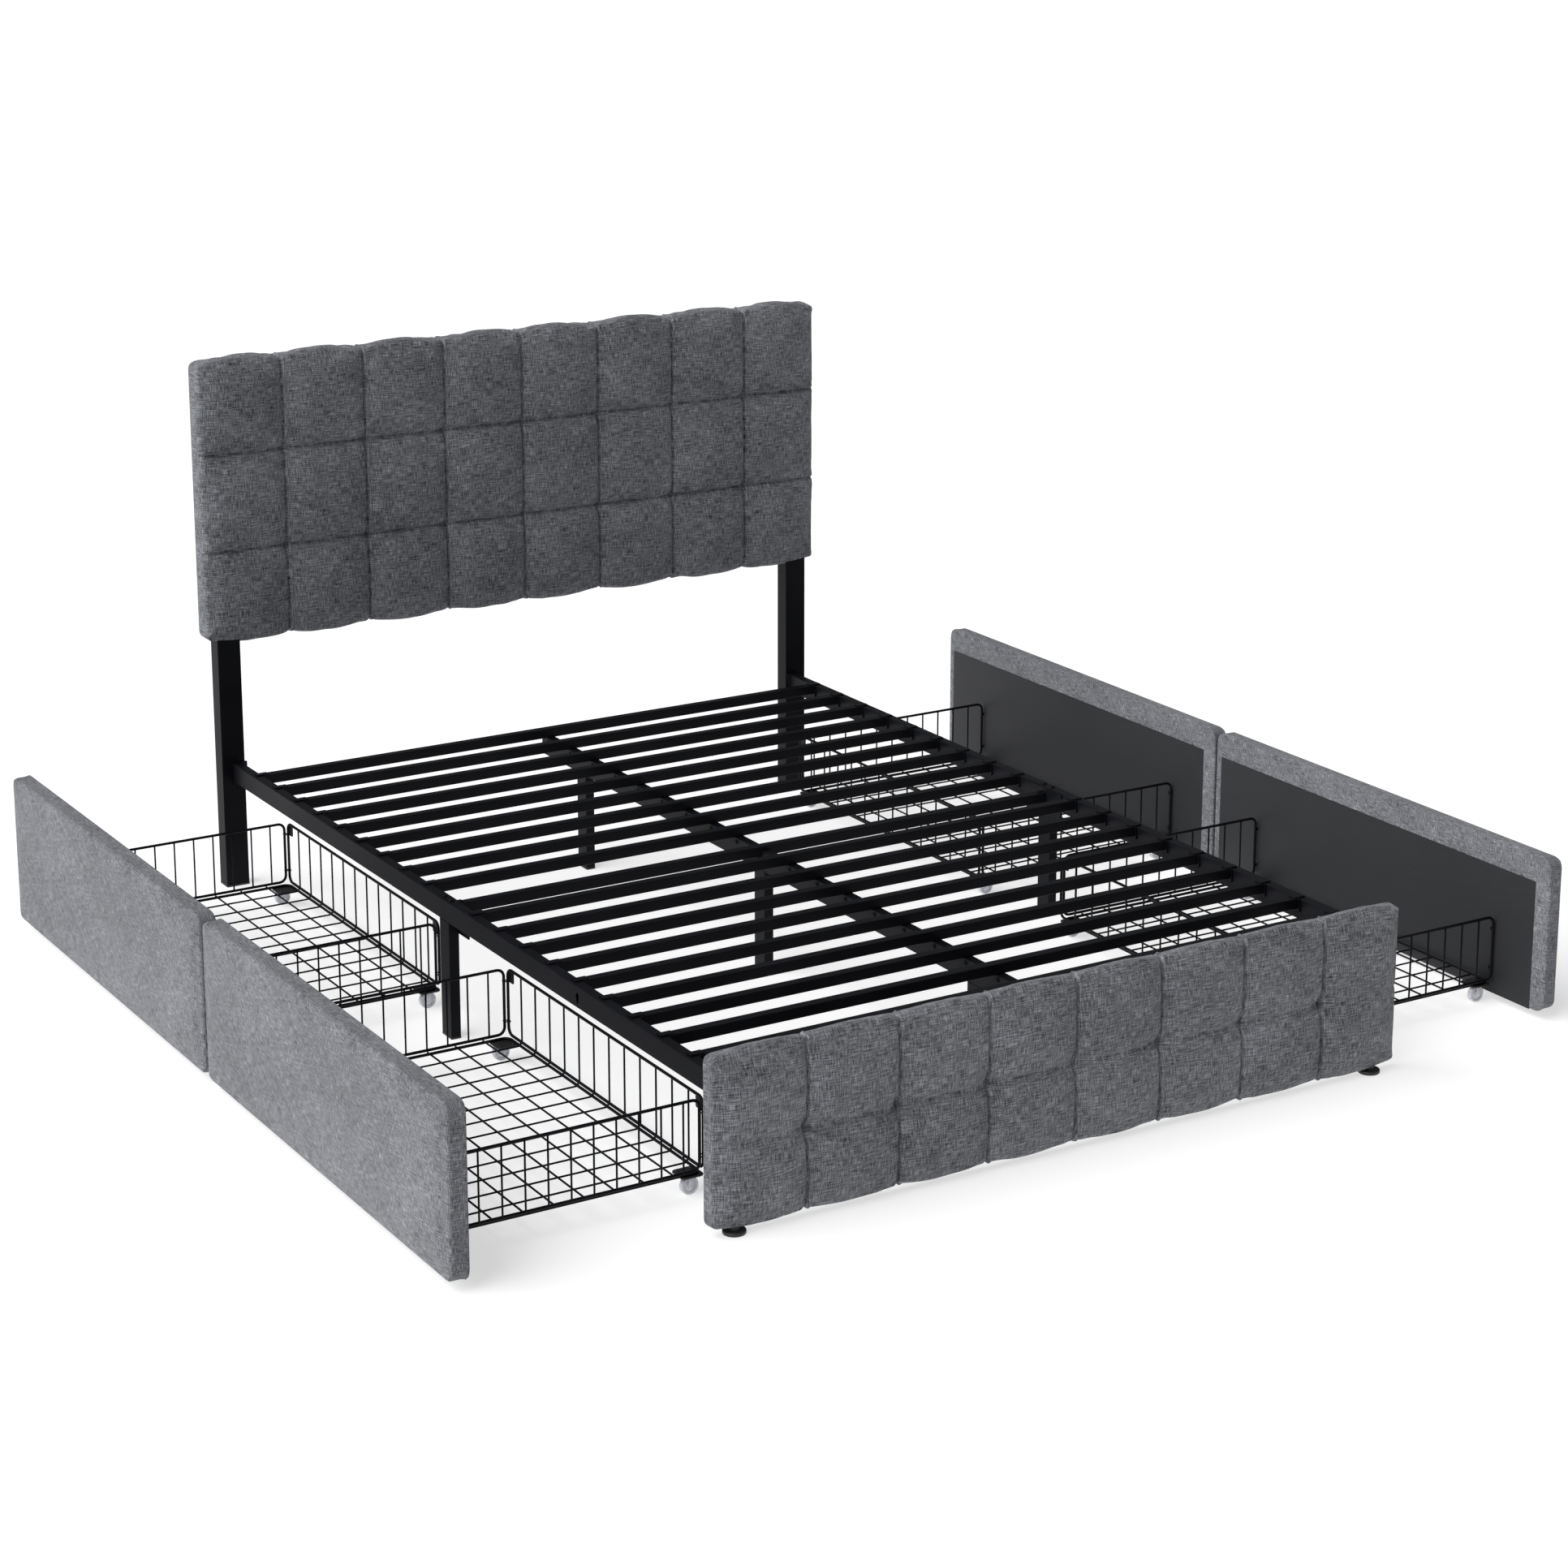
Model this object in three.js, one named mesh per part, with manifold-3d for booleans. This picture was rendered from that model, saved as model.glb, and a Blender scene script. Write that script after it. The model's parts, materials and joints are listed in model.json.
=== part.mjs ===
// A platform bed on a steel tube frame: padded headboard and footboard, nineteen cross bars,
// and four wire-basket drawers with padded fronts that roll on small casters.
//
// Millimetres. +X is the bed's right side, +Y points to the head, +Z is up, and the origin is on
// the floor, under the middle leg. The drawers stand pulled out, which is their rest pose.

import * as THREE from 'three';
import { mergeVertices } from 'three/addons/utils/BufferGeometryUtils.js';
import Module from 'manifold-3d';

const wasm = await Module();
wasm.setup();

// Driving sizes of the frame.
const railSpread = 1372; // outer face of one side rail to the outer face of the other
const frameLength = 2012; // back of the footboard to the front of the head posts
const railTop = 268;
const barPitch = 100;
const barsPerHalf = 9;
const middleBarDrop = 10; // the bolted middle bar sits this much lower than the others
const fitGap = 0.3; // between pieces that touch

// Tube sections.
const railWidth = 20;
const railHeight = 40;
const barSize = 20;
const barProud = 1; // a bar's top above the rails' tops
const tubeWall = 1.5;
const postWidth = 50;
const postDepth = 38;
const postSetOut = 23; // a post's outer face beyond the rail's outer face
const postSocket = 150; // length of a post inside the headboard
const socketGap = 0.5;

// Padded boards.
const headboardOverhang = 45; // beyond a side rail's outer face
const headboardBottom = 531;
const headboardTop = 1124;
const headboardDepth = 56;
const headboardCorner = 26;
const footboardOverhang = 29;
const footboardBottom = 15;
const footboardTop = 320;
const footboardDepth = 28;
const footboardCorner = 16;
const boardEase = 5; // bevel round the face of a padded board
const glideDiameter = 40;
const glideInset = 50; // from the footboard's end to a glide's centre

// Legs and brackets.
const centreLegSpacing = 738;
const legLength = 40; // along the bed
const footCap = 3; // closed end of a leg at the floor
const centreRailPast = 7; // a centre rail's end beyond the last cross bar
const hookPlate = { thickness: 4, width: 30, top: 2, height: 50 };
const splice = { thickness: 3, length: 120, height: 62, lap: 14 };
const barTab = { length: 26, onRail: 14, width: 16, thickness: 2.7 };

// Drawers.
const frontEndGap = 5; // between a front's end and the end of the frame
const frontSplitGap = 6; // between the two fronts on one side
const frontDepth = 37;
const frontBottom = 16;
const frontTop = 321;
const frontCorner = 14;
const closedGap = 4; // between a closed front and the side rail
const leftPull = 437; // how far the left drawers stand open
const rightPull = 414;
const basketReach = 500; // from the front board in under the bed
const basketInset = 137; // a basket's side from its front board's end
const basketTop = 172;
const rimSize = 6;
const wireSize = 4;
const backSpaces = 13; // spaces between uprights along the back panel
const sideSpaces = 12;
const carrierSpaces = 9; // spaces between the long wires that carry the floor

// Casters.
const wheelDiameter = 32;
const wheelWidth = 12;
const axleDiameter = 5;
const boreDiameter = 6;
const casterPlate = { size: 44, thickness: 3 };
const cheek = { thickness: 2, width: 14, below: 6 };
const cheekGap = 0.5; // on each side of the wheel
const innerCasterInset = 25; // from the basket's inner end
const outerCasterInset = 30; // from the front board
const casterSideInset = 15; // from the basket's side
const casterClearance = 1; // between a wheel's top and the plate over it

const railOuter = railSpread / 2;
const railInner = railOuter - railWidth;
const railBottom = railTop - railHeight;
const halfLength = frameLength / 2;
const barTop = railTop + barProud;
const barBottom = barTop - barSize;
const centreRailTop = barBottom - fitGap;
const centreRailBottom = centreRailTop - railHeight;
const centreRailEnd = barsPerHalf * barPitch + barSize / 2 + centreRailPast;
const headboardWidth = railSpread + 2 * headboardOverhang;
const footboardWidth = railSpread + 2 * footboardOverhang;
const frontLength = halfLength - frontEndGap - frontSplitGap / 2;
const drawerCentre = (frontSplitGap + frontLength) / 2; // from the bed's middle, along the bed
const basketWidth = frontLength - 2 * basketInset;
const plateLap = wireSize / 4; // a caster plate's top above the basket's underside
const basketBottom = wheelDiameter + casterClearance + casterPlate.thickness - plateLap;
const casterHalfSpread = basketWidth / 2 - casterSideInset;

const paint = new THREE.MeshStandardMaterial({ color: 0x191a1c, roughness: 0.42, metalness: 0.6 });
const fabric = new THREE.MeshStandardMaterial({ color: 0x6b6d71, roughness: 0.95, metalness: 0 });
const wheelPlastic = new THREE.MeshStandardMaterial({
  color: 0xd4d4cf,
  roughness: 0.5,
  metalness: 0,
});
const footPlastic = new THREE.MeshStandardMaterial({
  color: 0x141414,
  roughness: 0.6,
  metalness: 0,
});

const bed = new THREE.Group();

function addMesh(parent, name, geometry, material) {
  const mesh = new THREE.Mesh(geometry, material);
  mesh.name = name;
  parent.add(mesh);
  return mesh;
}

// A box between two values along each axis.
function box([x0, x1], [y0, y1], [z0, z1]) {
  const geometry = new THREE.BoxGeometry(x1 - x0, y1 - y0, z1 - z0);
  return geometry.translate((x0 + x1) / 2, (y0 + y1) / 2, (z0 + z1) / 2);
}

function around(middle, size) {
  return [middle - size / 2, middle + size / 2];
}

function rectangle(path, [a0, a1], [b0, b1]) {
  path.moveTo(a0, b0);
  path.lineTo(a1, b0);
  path.lineTo(a1, b1);
  path.lineTo(a0, b1);
  path.closePath();
  return path;
}

// Turns a shape extruded along its own Z so that it runs along the named axis. The shape's first
// direction then follows the next axis in the order X, Y, Z, X, and its second the one after.
function alongAxis(geometry, axis) {
  const unit = [
    new THREE.Vector3(1, 0, 0),
    new THREE.Vector3(0, 1, 0),
    new THREE.Vector3(0, 0, 1),
  ];
  const index = 'xyz'.indexOf(axis);
  const turn = new THREE.Matrix4();
  turn.makeBasis(unit[(index + 1) % 3], unit[(index + 2) % 3], unit[index]);
  return geometry.applyMatrix4(turn);
}

// A rectangular tube with open ends. Its section's two ranges are named as alongAxis takes them.
function tube(axis, [start, end], first, second) {
  const shape = rectangle(new THREE.Shape(), first, second);
  const innerFirst = [first[0] + tubeWall, first[1] - tubeWall];
  const innerSecond = [second[0] + tubeWall, second[1] - tubeWall];
  shape.holes.push(rectangle(new THREE.Path(), innerFirst, innerSecond));
  const geometry = new THREE.ExtrudeGeometry(shape, { depth: end - start, bevelEnabled: false });
  return alongAxis(geometry.translate(0, 0, start), axis);
}

// A rounded rectangle extruded along an axis, with an eased edge at both faces.
function paddedBoard(axis, [start, end], first, second, corner, ease) {
  const [a0, a1] = [first[0] + ease, first[1] - ease];
  const [b0, b1] = [second[0] + ease, second[1] - ease];
  const r = corner - ease;
  const shape = new THREE.Shape();
  shape.absarc(a1 - r, b0 + r, r, -Math.PI / 2, 0);
  shape.absarc(a1 - r, b1 - r, r, 0, Math.PI / 2);
  shape.absarc(a0 + r, b1 - r, r, Math.PI / 2, Math.PI);
  shape.absarc(a0 + r, b0 + r, r, Math.PI, 1.5 * Math.PI);
  const geometry = new THREE.ExtrudeGeometry(shape, {
    depth: end - start - 2 * ease,
    bevelThickness: ease,
    bevelSize: ease,
    bevelSegments: 1,
    curveSegments: 4,
  });
  return alongAxis(geometry.translate(0, 0, start + ease), axis);
}

function toSolid(geometry) {
  const bare = geometry.clone();
  bare.deleteAttribute('normal');
  bare.deleteAttribute('uv');
  const merged = mergeVertices(bare, 1e-3);
  const mesh = new wasm.Mesh({
    numProp: 3,
    vertProperties: new Float32Array(merged.attributes.position.array),
    triVerts: new Uint32Array(merged.index.array),
  });
  return new wasm.Manifold(mesh);
}

function toGeometry(solid) {
  const mesh = solid.getMesh();
  const geometry = new THREE.BufferGeometry();
  geometry.setAttribute('position', new THREE.BufferAttribute(mesh.vertProperties, 3));
  geometry.setIndex(new THREE.BufferAttribute(mesh.triVerts, 1));
  geometry.computeVertexNormals();
  return geometry;
}

function join(geometries) {
  return toGeometry(geometries.map(toSolid).reduce((whole, piece) => whole.add(piece)));
}

function cut(geometry, tools) {
  const solids = [geometry, ...tools].map(toSolid);
  return toGeometry(solids.reduce((whole, piece) => whole.subtract(piece)));
}

// Ranges along X, mirrored for the left side of the bed.
function onSide(side, near, far) {
  return side > 0 ? [near, far] : [-far, -near];
}

// Ranges along Y, mirrored for the foot half of the bed.
const onEnd = onSide;

function postRangeX(side) {
  const outer = railOuter + postSetOut;
  return onSide(side, outer - postWidth, outer);
}

function headPost(side) {
  const rangeY = [halfLength, halfLength + postDepth];
  return tube('z', [0, headboardBottom + postSocket], postRangeX(side), rangeY);
}

function headboard() {
  const middleY = halfLength + postDepth / 2;
  const rangeY = around(middleY, headboardDepth);
  const board = paddedBoard(
    'y',
    rangeY,
    [headboardBottom, headboardTop],
    around(0, headboardWidth),
    headboardCorner,
    boardEase,
  );
  const sockets = [-1, 1].map((side) => {
    const [x0, x1] = postRangeX(side);
    return box(
      [x0 - socketGap, x1 + socketGap],
      [halfLength - socketGap, halfLength + postDepth + socketGap],
      [headboardBottom - boardEase, headboardBottom + postSocket + socketGap],
    );
  });
  return cut(board, sockets);
}

function footboard() {
  const back = -halfLength - fitGap;
  return paddedBoard(
    'y',
    [back - footboardDepth, back],
    [footboardBottom, footboardTop],
    around(0, footboardWidth),
    footboardCorner,
    boardEase,
  );
}

function footGlide(side) {
  const height = footboardBottom - fitGap;
  const glide = new THREE.CylinderGeometry(glideDiameter / 2, glideDiameter / 2, height, 24);
  const x = side * (footboardWidth / 2 - glideInset);
  glide.rotateX(Math.PI / 2);
  return glide.translate(x, -halfLength - footboardDepth / 2, height / 2);
}

// Half a side rail: a tube that meets its other half at the bed's middle, and a hook plate at its
// far end.
function sideRail(side, end) {
  const tubeEnd = halfLength - fitGap - hookPlate.thickness / 2;
  const rail = tube(
    'y',
    onEnd(end, fitGap, tubeEnd),
    [railBottom, railTop],
    onSide(side, railInner, railOuter),
  );
  const plateTop = railTop + hookPlate.top;
  const plate = box(
    onSide(side, railOuter - hookPlate.width, railOuter + fitGap),
    onEnd(end, halfLength - fitGap - hookPlate.thickness, halfLength - fitGap),
    [plateTop - hookPlate.height, plateTop],
  );
  return join([rail, plate]);
}

// The leg under the rails' joint, with the plate that splices the two half rails inside.
function sideLeg(side) {
  const legTop = railBottom - fitGap;
  const rangeX = onSide(side, railInner, railOuter);
  const rangeY = around(0, legLength);
  const plateOuter = railInner - fitGap;
  const plateInner = plateOuter - splice.thickness;
  const plateTop = railTop - tubeWall;
  return join([
    tube('z', [0, legTop], rangeX, rangeY),
    box(rangeX, rangeY, [0, footCap]),
    box(onSide(side, plateInner, railInner + tubeWall), rangeY, [legTop - splice.lap, legTop]),
    box(
      onSide(side, plateInner, plateOuter),
      around(0, splice.length),
      [plateTop - splice.height, plateTop],
    ),
  ]);
}

function centreRail(end) {
  return tube(
    'y',
    onEnd(end, barSize / 2 + fitGap, centreRailEnd),
    [centreRailBottom, centreRailTop],
    around(0, railWidth),
  );
}

function centreLeg(middleY) {
  const rangeX = around(0, railWidth);
  const rangeY = around(middleY, legLength);
  return join([
    tube('z', [0, centreRailBottom - fitGap], rangeX, rangeY),
    box(rangeX, rangeY, [0, footCap]),
  ]);
}

// A cross bar with a flat tab at each end that lies on the side rail.
function crossBar(middleY) {
  const barEnd = railInner - fitGap;
  const tabEnd = railInner + barTab.onRail;
  const tabRangeZ = [railTop + fitGap, railTop + fitGap + barTab.thickness];
  const tabs = [-1, 1].map((side) =>
    box(onSide(side, tabEnd - barTab.length, tabEnd), around(middleY, barTab.width), tabRangeZ),
  );
  const bar = tube('x', [-barEnd, barEnd], around(middleY, barSize), [barBottom, barTop]);
  return join([bar, ...tabs]);
}

// The middle bar butts against the splice plates, where it is bolted.
function middleBar() {
  const barEnd = railInner - splice.thickness - 2 * fitGap;
  const top = railTop - middleBarDrop;
  return tube('x', [-barEnd, barEnd], around(0, barSize), [top - barSize, top]);
}

function drawerFront() {
  return paddedBoard(
    'x',
    [fitGap, frontDepth],
    around(0, frontLength),
    [frontBottom, frontTop],
    frontCorner,
    boardEase,
  );
}

// Where the casters stand in a drawer's own frame, with the words that name them. A left drawer is
// a right one turned half round, so its head end is at the other end of its own frame.
function casterPlaces(headward = 1) {
  const places = [];
  for (const [depthName, x] of [
    ['inner', -basketReach + innerCasterInset],
    ['outer', -outerCasterInset],
  ]) {
    for (const [endName, y] of [
      ['head', headward * casterHalfSpread],
      ['foot', -headward * casterHalfSpread],
    ]) {
      places.push({ name: `${depthName}_${endName}`, x, y });
    }
  }
  return places;
}

// A fixed caster: a plate under the basket, two cheeks and the axle between them.
function casterHousing({ x, y }) {
  const axleHeight = wheelDiameter / 2;
  const plateTop = basketBottom + plateLap;
  const plateBottom = plateTop - casterPlate.thickness;
  const cheekInner = wheelWidth / 2 + cheekGap;
  const cheekOuter = cheekInner + cheek.thickness;
  const axle = new THREE.CylinderGeometry(axleDiameter / 2, axleDiameter / 2, 2 * cheekOuter, 8);
  const cheeks = [-1, 1].map((side) => {
    const [y0, y1] = onSide(side, cheekInner, cheekOuter);
    return box(around(x, cheek.width), [y + y0, y + y1], [axleHeight - cheek.below, plateTop]);
  });
  const plateX = around(x, casterPlate.size);
  return [
    box(
      [Math.max(plateX[0], -basketReach), Math.min(plateX[1], -fitGap)],
      around(y, casterPlate.size / 2),
      [plateBottom, plateTop],
    ),
    ...cheeks,
    axle.translate(x, y, axleHeight),
  ];
}

// The wire basket, joined into one piece with its caster housings.
function drawerBasket() {
  const outerEnd = -fitGap;
  const innerEnd = -basketReach;
  const halfWidth = basketWidth / 2;
  const wholeX = [innerEnd, outerEnd];
  const wholeY = [-halfWidth, halfWidth];
  const wholeZ = [basketBottom, basketTop];
  const backX = [innerEnd, innerEnd + rimSize];
  const frontX = [outerEnd - rimSize, outerEnd];
  const topZ = [basketTop - rimSize, basketTop];
  const bottomZ = [basketBottom, basketBottom + rimSize];
  const wires = [
    box(backX, wholeY, topZ),
    box(backX, wholeY, bottomZ),
    box(frontX, wholeY, bottomZ),
  ];
  for (const side of [-1, 1]) {
    const sideY = onSide(side, halfWidth - rimSize, halfWidth);
    wires.push(box(wholeX, sideY, topZ));
    wires.push(box(wholeX, sideY, bottomZ));
    wires.push(box(backX, sideY, wholeZ));
    wires.push(box(frontX, sideY, wholeZ));
    for (let i = 1; i < sideSpaces; i += 1) {
      const x = innerEnd + (i * basketReach) / sideSpaces;
      const wireY = around(side * (halfWidth - rimSize / 2), wireSize);
      wires.push(box(around(x, wireSize), wireY, [bottomZ[1] - 1, topZ[0] + 1]));
    }
  }
  const shortWireZ = around(basketBottom + rimSize / 2, wireSize);
  for (let i = 1; i < backSpaces; i += 1) {
    const wireY = around(-halfWidth + (i * basketWidth) / backSpaces, wireSize);
    wires.push(box(around(innerEnd + rimSize / 2, wireSize), wireY, [bottomZ[1] - 1, topZ[0] + 1]));
    wires.push(box([backX[1] - 1, frontX[0] + 1], wireY, shortWireZ));
  }
  const carrierZ = [shortWireZ[1] - 1, shortWireZ[1] + wireSize - 1];
  for (let i = 1; i < carrierSpaces; i += 1) {
    const x = innerEnd + (i * basketReach) / carrierSpaces;
    const reach = halfWidth - rimSize + 1;
    wires.push(box(around(x, wireSize), [-reach, reach], carrierZ));
  }
  return join([...wires, ...casterPlaces().flatMap(casterHousing)]);
}

function casterWheel() {
  const half = wheelWidth / 2;
  const profile = [
    new THREE.Vector2(boreDiameter / 2, -half),
    new THREE.Vector2(wheelDiameter / 2, -half),
    new THREE.Vector2(wheelDiameter / 2, half),
    new THREE.Vector2(boreDiameter / 2, half),
    new THREE.Vector2(boreDiameter / 2, -half),
  ];
  return new THREE.LatheGeometry(profile, 16);
}

function addDrawer(sideName, endName) {
  const onRight = sideName === 'right';
  const drawer = new THREE.Group();
  const pull = onRight ? rightPull : leftPull;
  const x = railOuter + closedGap + pull;
  drawer.position.set(onRight ? x : -x, endName === 'head' ? drawerCentre : -drawerCentre, 0);
  drawer.rotation.z = onRight ? 0 : Math.PI;
  const where = `${sideName}_${endName}`;
  addMesh(drawer, `drawer_front_${where}`, drawerFront(), fabric);
  addMesh(drawer, `drawer_basket_${where}`, drawerBasket(), paint);
  for (const place of casterPlaces(onRight ? 1 : -1)) {
    const wheel = addMesh(drawer, `wheel_${where}_${place.name}`, casterWheel(), wheelPlastic);
    wheel.position.set(place.x, place.y, wheelDiameter / 2);
  }
  bed.add(drawer);
}

addMesh(bed, 'headboard', headboard(), fabric);
addMesh(bed, 'footboard', footboard(), fabric);
for (const [sideName, side] of [
  ['left', -1],
  ['right', 1],
]) {
  addMesh(bed, `head_post_${sideName}`, headPost(side), paint);
  addMesh(bed, `foot_glide_${sideName}`, footGlide(side), footPlastic);
  addMesh(bed, `side_rail_${sideName}_head`, sideRail(side, 1), paint);
  addMesh(bed, `side_rail_${sideName}_foot`, sideRail(side, -1), paint);
  addMesh(bed, `side_leg_${sideName}`, sideLeg(side), paint);
}
addMesh(bed, 'centre_rail_head', centreRail(1), paint);
addMesh(bed, 'centre_rail_foot', centreRail(-1), paint);
addMesh(bed, 'centre_leg_head', centreLeg(centreLegSpacing), paint);
addMesh(bed, 'centre_leg_middle', centreLeg(0), paint);
addMesh(bed, 'centre_leg_foot', centreLeg(-centreLegSpacing), paint);
addMesh(bed, 'middle_bar', middleBar(), paint);
for (let i = 1; i <= barsPerHalf; i += 1) {
  addMesh(bed, `cross_bar_head_${i}`, crossBar(i * barPitch), paint);
  addMesh(bed, `cross_bar_foot_${i}`, crossBar(-i * barPitch), paint);
}
for (const sideName of ['left', 'right']) {
  for (const endName of ['head', 'foot']) {
    addDrawer(sideName, endName);
  }
}

export default bed;
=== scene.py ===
"""A platform bed on a steel tube frame, with padded boards and four wire-basket drawers.

Metres, in the frame's own axes: +X is the bed's right side, +Y points to the head, +Z is up.
Padded pieces are made lying in the XZ plane, with their face to -Y, and are then put in place.
"""

import json
import math
from dataclasses import dataclass, field

import bmesh
import bpy
import numpy as np
from mathutils import Matrix, Vector

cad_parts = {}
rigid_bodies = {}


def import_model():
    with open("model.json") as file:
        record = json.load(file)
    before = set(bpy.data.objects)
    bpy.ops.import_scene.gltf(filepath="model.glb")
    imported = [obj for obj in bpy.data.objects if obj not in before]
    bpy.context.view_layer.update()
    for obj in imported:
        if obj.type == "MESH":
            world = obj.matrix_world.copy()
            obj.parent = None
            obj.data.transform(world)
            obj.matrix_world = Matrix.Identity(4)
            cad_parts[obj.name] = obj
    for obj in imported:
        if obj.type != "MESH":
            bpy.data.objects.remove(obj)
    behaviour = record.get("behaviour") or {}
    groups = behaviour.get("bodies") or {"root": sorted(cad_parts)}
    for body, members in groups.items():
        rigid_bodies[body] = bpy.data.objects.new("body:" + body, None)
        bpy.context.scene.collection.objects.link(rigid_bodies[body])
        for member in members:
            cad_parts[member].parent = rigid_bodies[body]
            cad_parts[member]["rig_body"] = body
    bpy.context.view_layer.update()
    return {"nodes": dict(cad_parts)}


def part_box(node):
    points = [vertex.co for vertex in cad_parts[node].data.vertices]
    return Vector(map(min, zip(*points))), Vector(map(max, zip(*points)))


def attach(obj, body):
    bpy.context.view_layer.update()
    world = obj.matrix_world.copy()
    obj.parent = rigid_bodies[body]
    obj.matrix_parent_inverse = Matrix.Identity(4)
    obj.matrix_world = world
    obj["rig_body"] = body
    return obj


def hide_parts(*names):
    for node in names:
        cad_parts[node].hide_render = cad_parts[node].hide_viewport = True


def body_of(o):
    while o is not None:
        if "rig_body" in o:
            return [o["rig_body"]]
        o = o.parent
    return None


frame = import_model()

bl_info = {
    "name": "Platform bed with drawers",
    "version": (1, 0, 0),
    "blender": (4, 5, 0),
    "location": "View3D > Sidebar > Bed",
    "description": "Makes the padded boards, steel frame and wire drawers of a platform bed",
    "category": "Object",
}

MM = 0.001
QUARTER = math.pi / 2
SIDES = {"left": -1, "right": 1}
ENDS = {"head": 1, "foot": -1}
DRAWERS = [(side, end) for side in SIDES for end in ENDS]

KEY_WAY = (0.74, -0.06, -0.66)  # the way the broad light shines
KEY_SPREAD = math.radians(70)
FLOOR_GLOW = 0.56
CAMERA_SHIFT = -0.12
SENSOR_WIDTH = 36

COLUMNS = 8  # tufted cells across the headboard and the footboard
HEADBOARD_TUCKS = (0.720, 0.923)  # heights of the level tucks above the floor
FOOTBOARD_TUCK = 0.160

RAIL_MIDDLE = 0.676  # from the bed's middle to the middle of a side rail
BAR_PLATE_X = 0.6657  # from the bed's middle to the plates at the bars' ends
BAR_PITCH = 0.1  # from one cross bar to the next
RAIL_HOLE_Y = -0.525  # a keyhole in the left rail and a round hole in the right one
KEYHOLE_Z, ROUND_HOLE_Z = 0.250, 0.254


# ---------------------------------------------------------------- settings


class StageSettings(bpy.types.PropertyGroup):
    """The floor, the light and the camera."""

    floor_size: bpy.props.FloatProperty(
        name="Floor size", description="Side of the square floor", default=60, unit="LENGTH"
    )
    floor_colour: bpy.props.FloatVectorProperty(
        name="Floor colour",
        description="Colour of the floor",
        subtype="COLOR",
        default=(0.55, 0.55, 0.55),
    )
    sky: bpy.props.FloatProperty(
        name="Fill", description="Strength of the even light from all round", default=0.22
    )
    key: bpy.props.FloatProperty(
        name="Key", description="Strength of the broad light from the left", default=4.0
    )
    lens: bpy.props.FloatProperty(
        name="Lens",
        description="Focal length of the camera",
        default=79.44,
        subtype="DISTANCE_CAMERA",
    )
    camera_place: bpy.props.FloatVectorProperty(
        name="Camera place",
        description="Where the camera stands",
        subtype="XYZ",
        unit="LENGTH",
        default=(-3.272, -5.488, 2.3643),
    )
    camera_turn: bpy.props.FloatVectorProperty(
        name="Camera turn",
        description="Pitch, roll and heading of the camera",
        subtype="EULER",
        default=(math.radians(75.864), 0, math.radians(-31.154)),
    )


class UpholsterySettings(bpy.types.PropertyGroup):
    """The padded boards and their cloth."""

    dark_yarn: bpy.props.FloatVectorProperty(
        name="Dark yarn",
        description="Darkest yarn",
        subtype="COLOR",
        default=(0.021, 0.0228, 0.0275),
    )
    light_yarn: bpy.props.FloatVectorProperty(
        name="Light yarn",
        description="Lightest yarn",
        subtype="COLOR",
        default=(0.330, 0.341, 0.366),
    )
    yarn_pitch: bpy.props.FloatProperty(
        name="Yarn pitch",
        description="From one yarn to the next",
        default=1.7 * MM,
        unit="LENGTH",
        precision=4,
    )
    pressure: bpy.props.FloatProperty(
        name="Filling pressure", description="How hard the foam pushes on the cloth", default=4
    )
    backing_colour: bpy.props.FloatVectorProperty(
        name="Backing colour",
        description="Board on the inside of a drawer front",
        subtype="COLOR",
        default=(0.0160, 0.0166, 0.0188),
    )


class SteelSettings(bpy.types.PropertyGroup):
    """The tube frame and the wire baskets."""

    paint_colour: bpy.props.FloatVectorProperty(
        name="Paint", description="Powder coat", subtype="COLOR", default=(0.0034, 0.0036, 0.0050)
    )
    tube_corner: bpy.props.FloatProperty(
        name="Tube corner",
        description="Outer corner radius of a tube",
        default=1.8 * MM,
        unit="LENGTH",
        precision=4,
    )
    rim_wire: bpy.props.FloatProperty(
        name="Rim wire",
        description="Thickness of a basket's rims",
        default=5.6 * MM,
        unit="LENGTH",
        precision=4,
    )
    fine_wire: bpy.props.FloatProperty(
        name="Fine wire",
        description="Thickness of a basket's inner wires",
        default=3.6 * MM,
        unit="LENGTH",
        precision=4,
    )
    wheel_colour: bpy.props.FloatVectorProperty(
        name="Wheels", description="Caster plastic", subtype="COLOR", default=(0.60, 0.61, 0.66)
    )


SETTINGS = {
    "bed_stage": StageSettings,
    "bed_upholstery": UpholsterySettings,
    "bed_steel": SteelSettings,
}


def settings(name):
    return getattr(bpy.context.scene, name)


# ---------------------------------------------------------------- modelling helpers


def select_only(*pieces):
    if bpy.context.object and bpy.context.object.mode != "OBJECT":
        bpy.ops.object.mode_set(mode="OBJECT")
    bpy.ops.object.select_all(action="DESELECT")
    for piece in pieces:
        piece.select_set(True)
    if pieces:
        bpy.context.view_layer.objects.active = pieces[0]


def named(name):
    """Names the primitive just added and fixes its place into its mesh."""
    piece = bpy.context.object
    piece.name = name
    piece.data.name = name
    bpy.ops.object.transform_apply(location=True, rotation=True, scale=True)
    return piece


def edit(piece):
    select_only(piece)
    bpy.ops.object.mode_set(mode="EDIT")


def close():
    bpy.ops.object.mode_set(mode="OBJECT")


def pick(piece, kind, test):
    """In edit mode, selects only the edges or faces that pass the test."""
    bpy.ops.mesh.select_mode(type=kind)
    bpy.ops.mesh.select_all(action="DESELECT")
    mesh = bmesh.from_edit_mesh(piece.data)
    for part in mesh.edges if kind == "EDGE" else mesh.faces:
        if test(part):
            part.select_set(True)
    bmesh.update_edit_mesh(piece.data)


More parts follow.
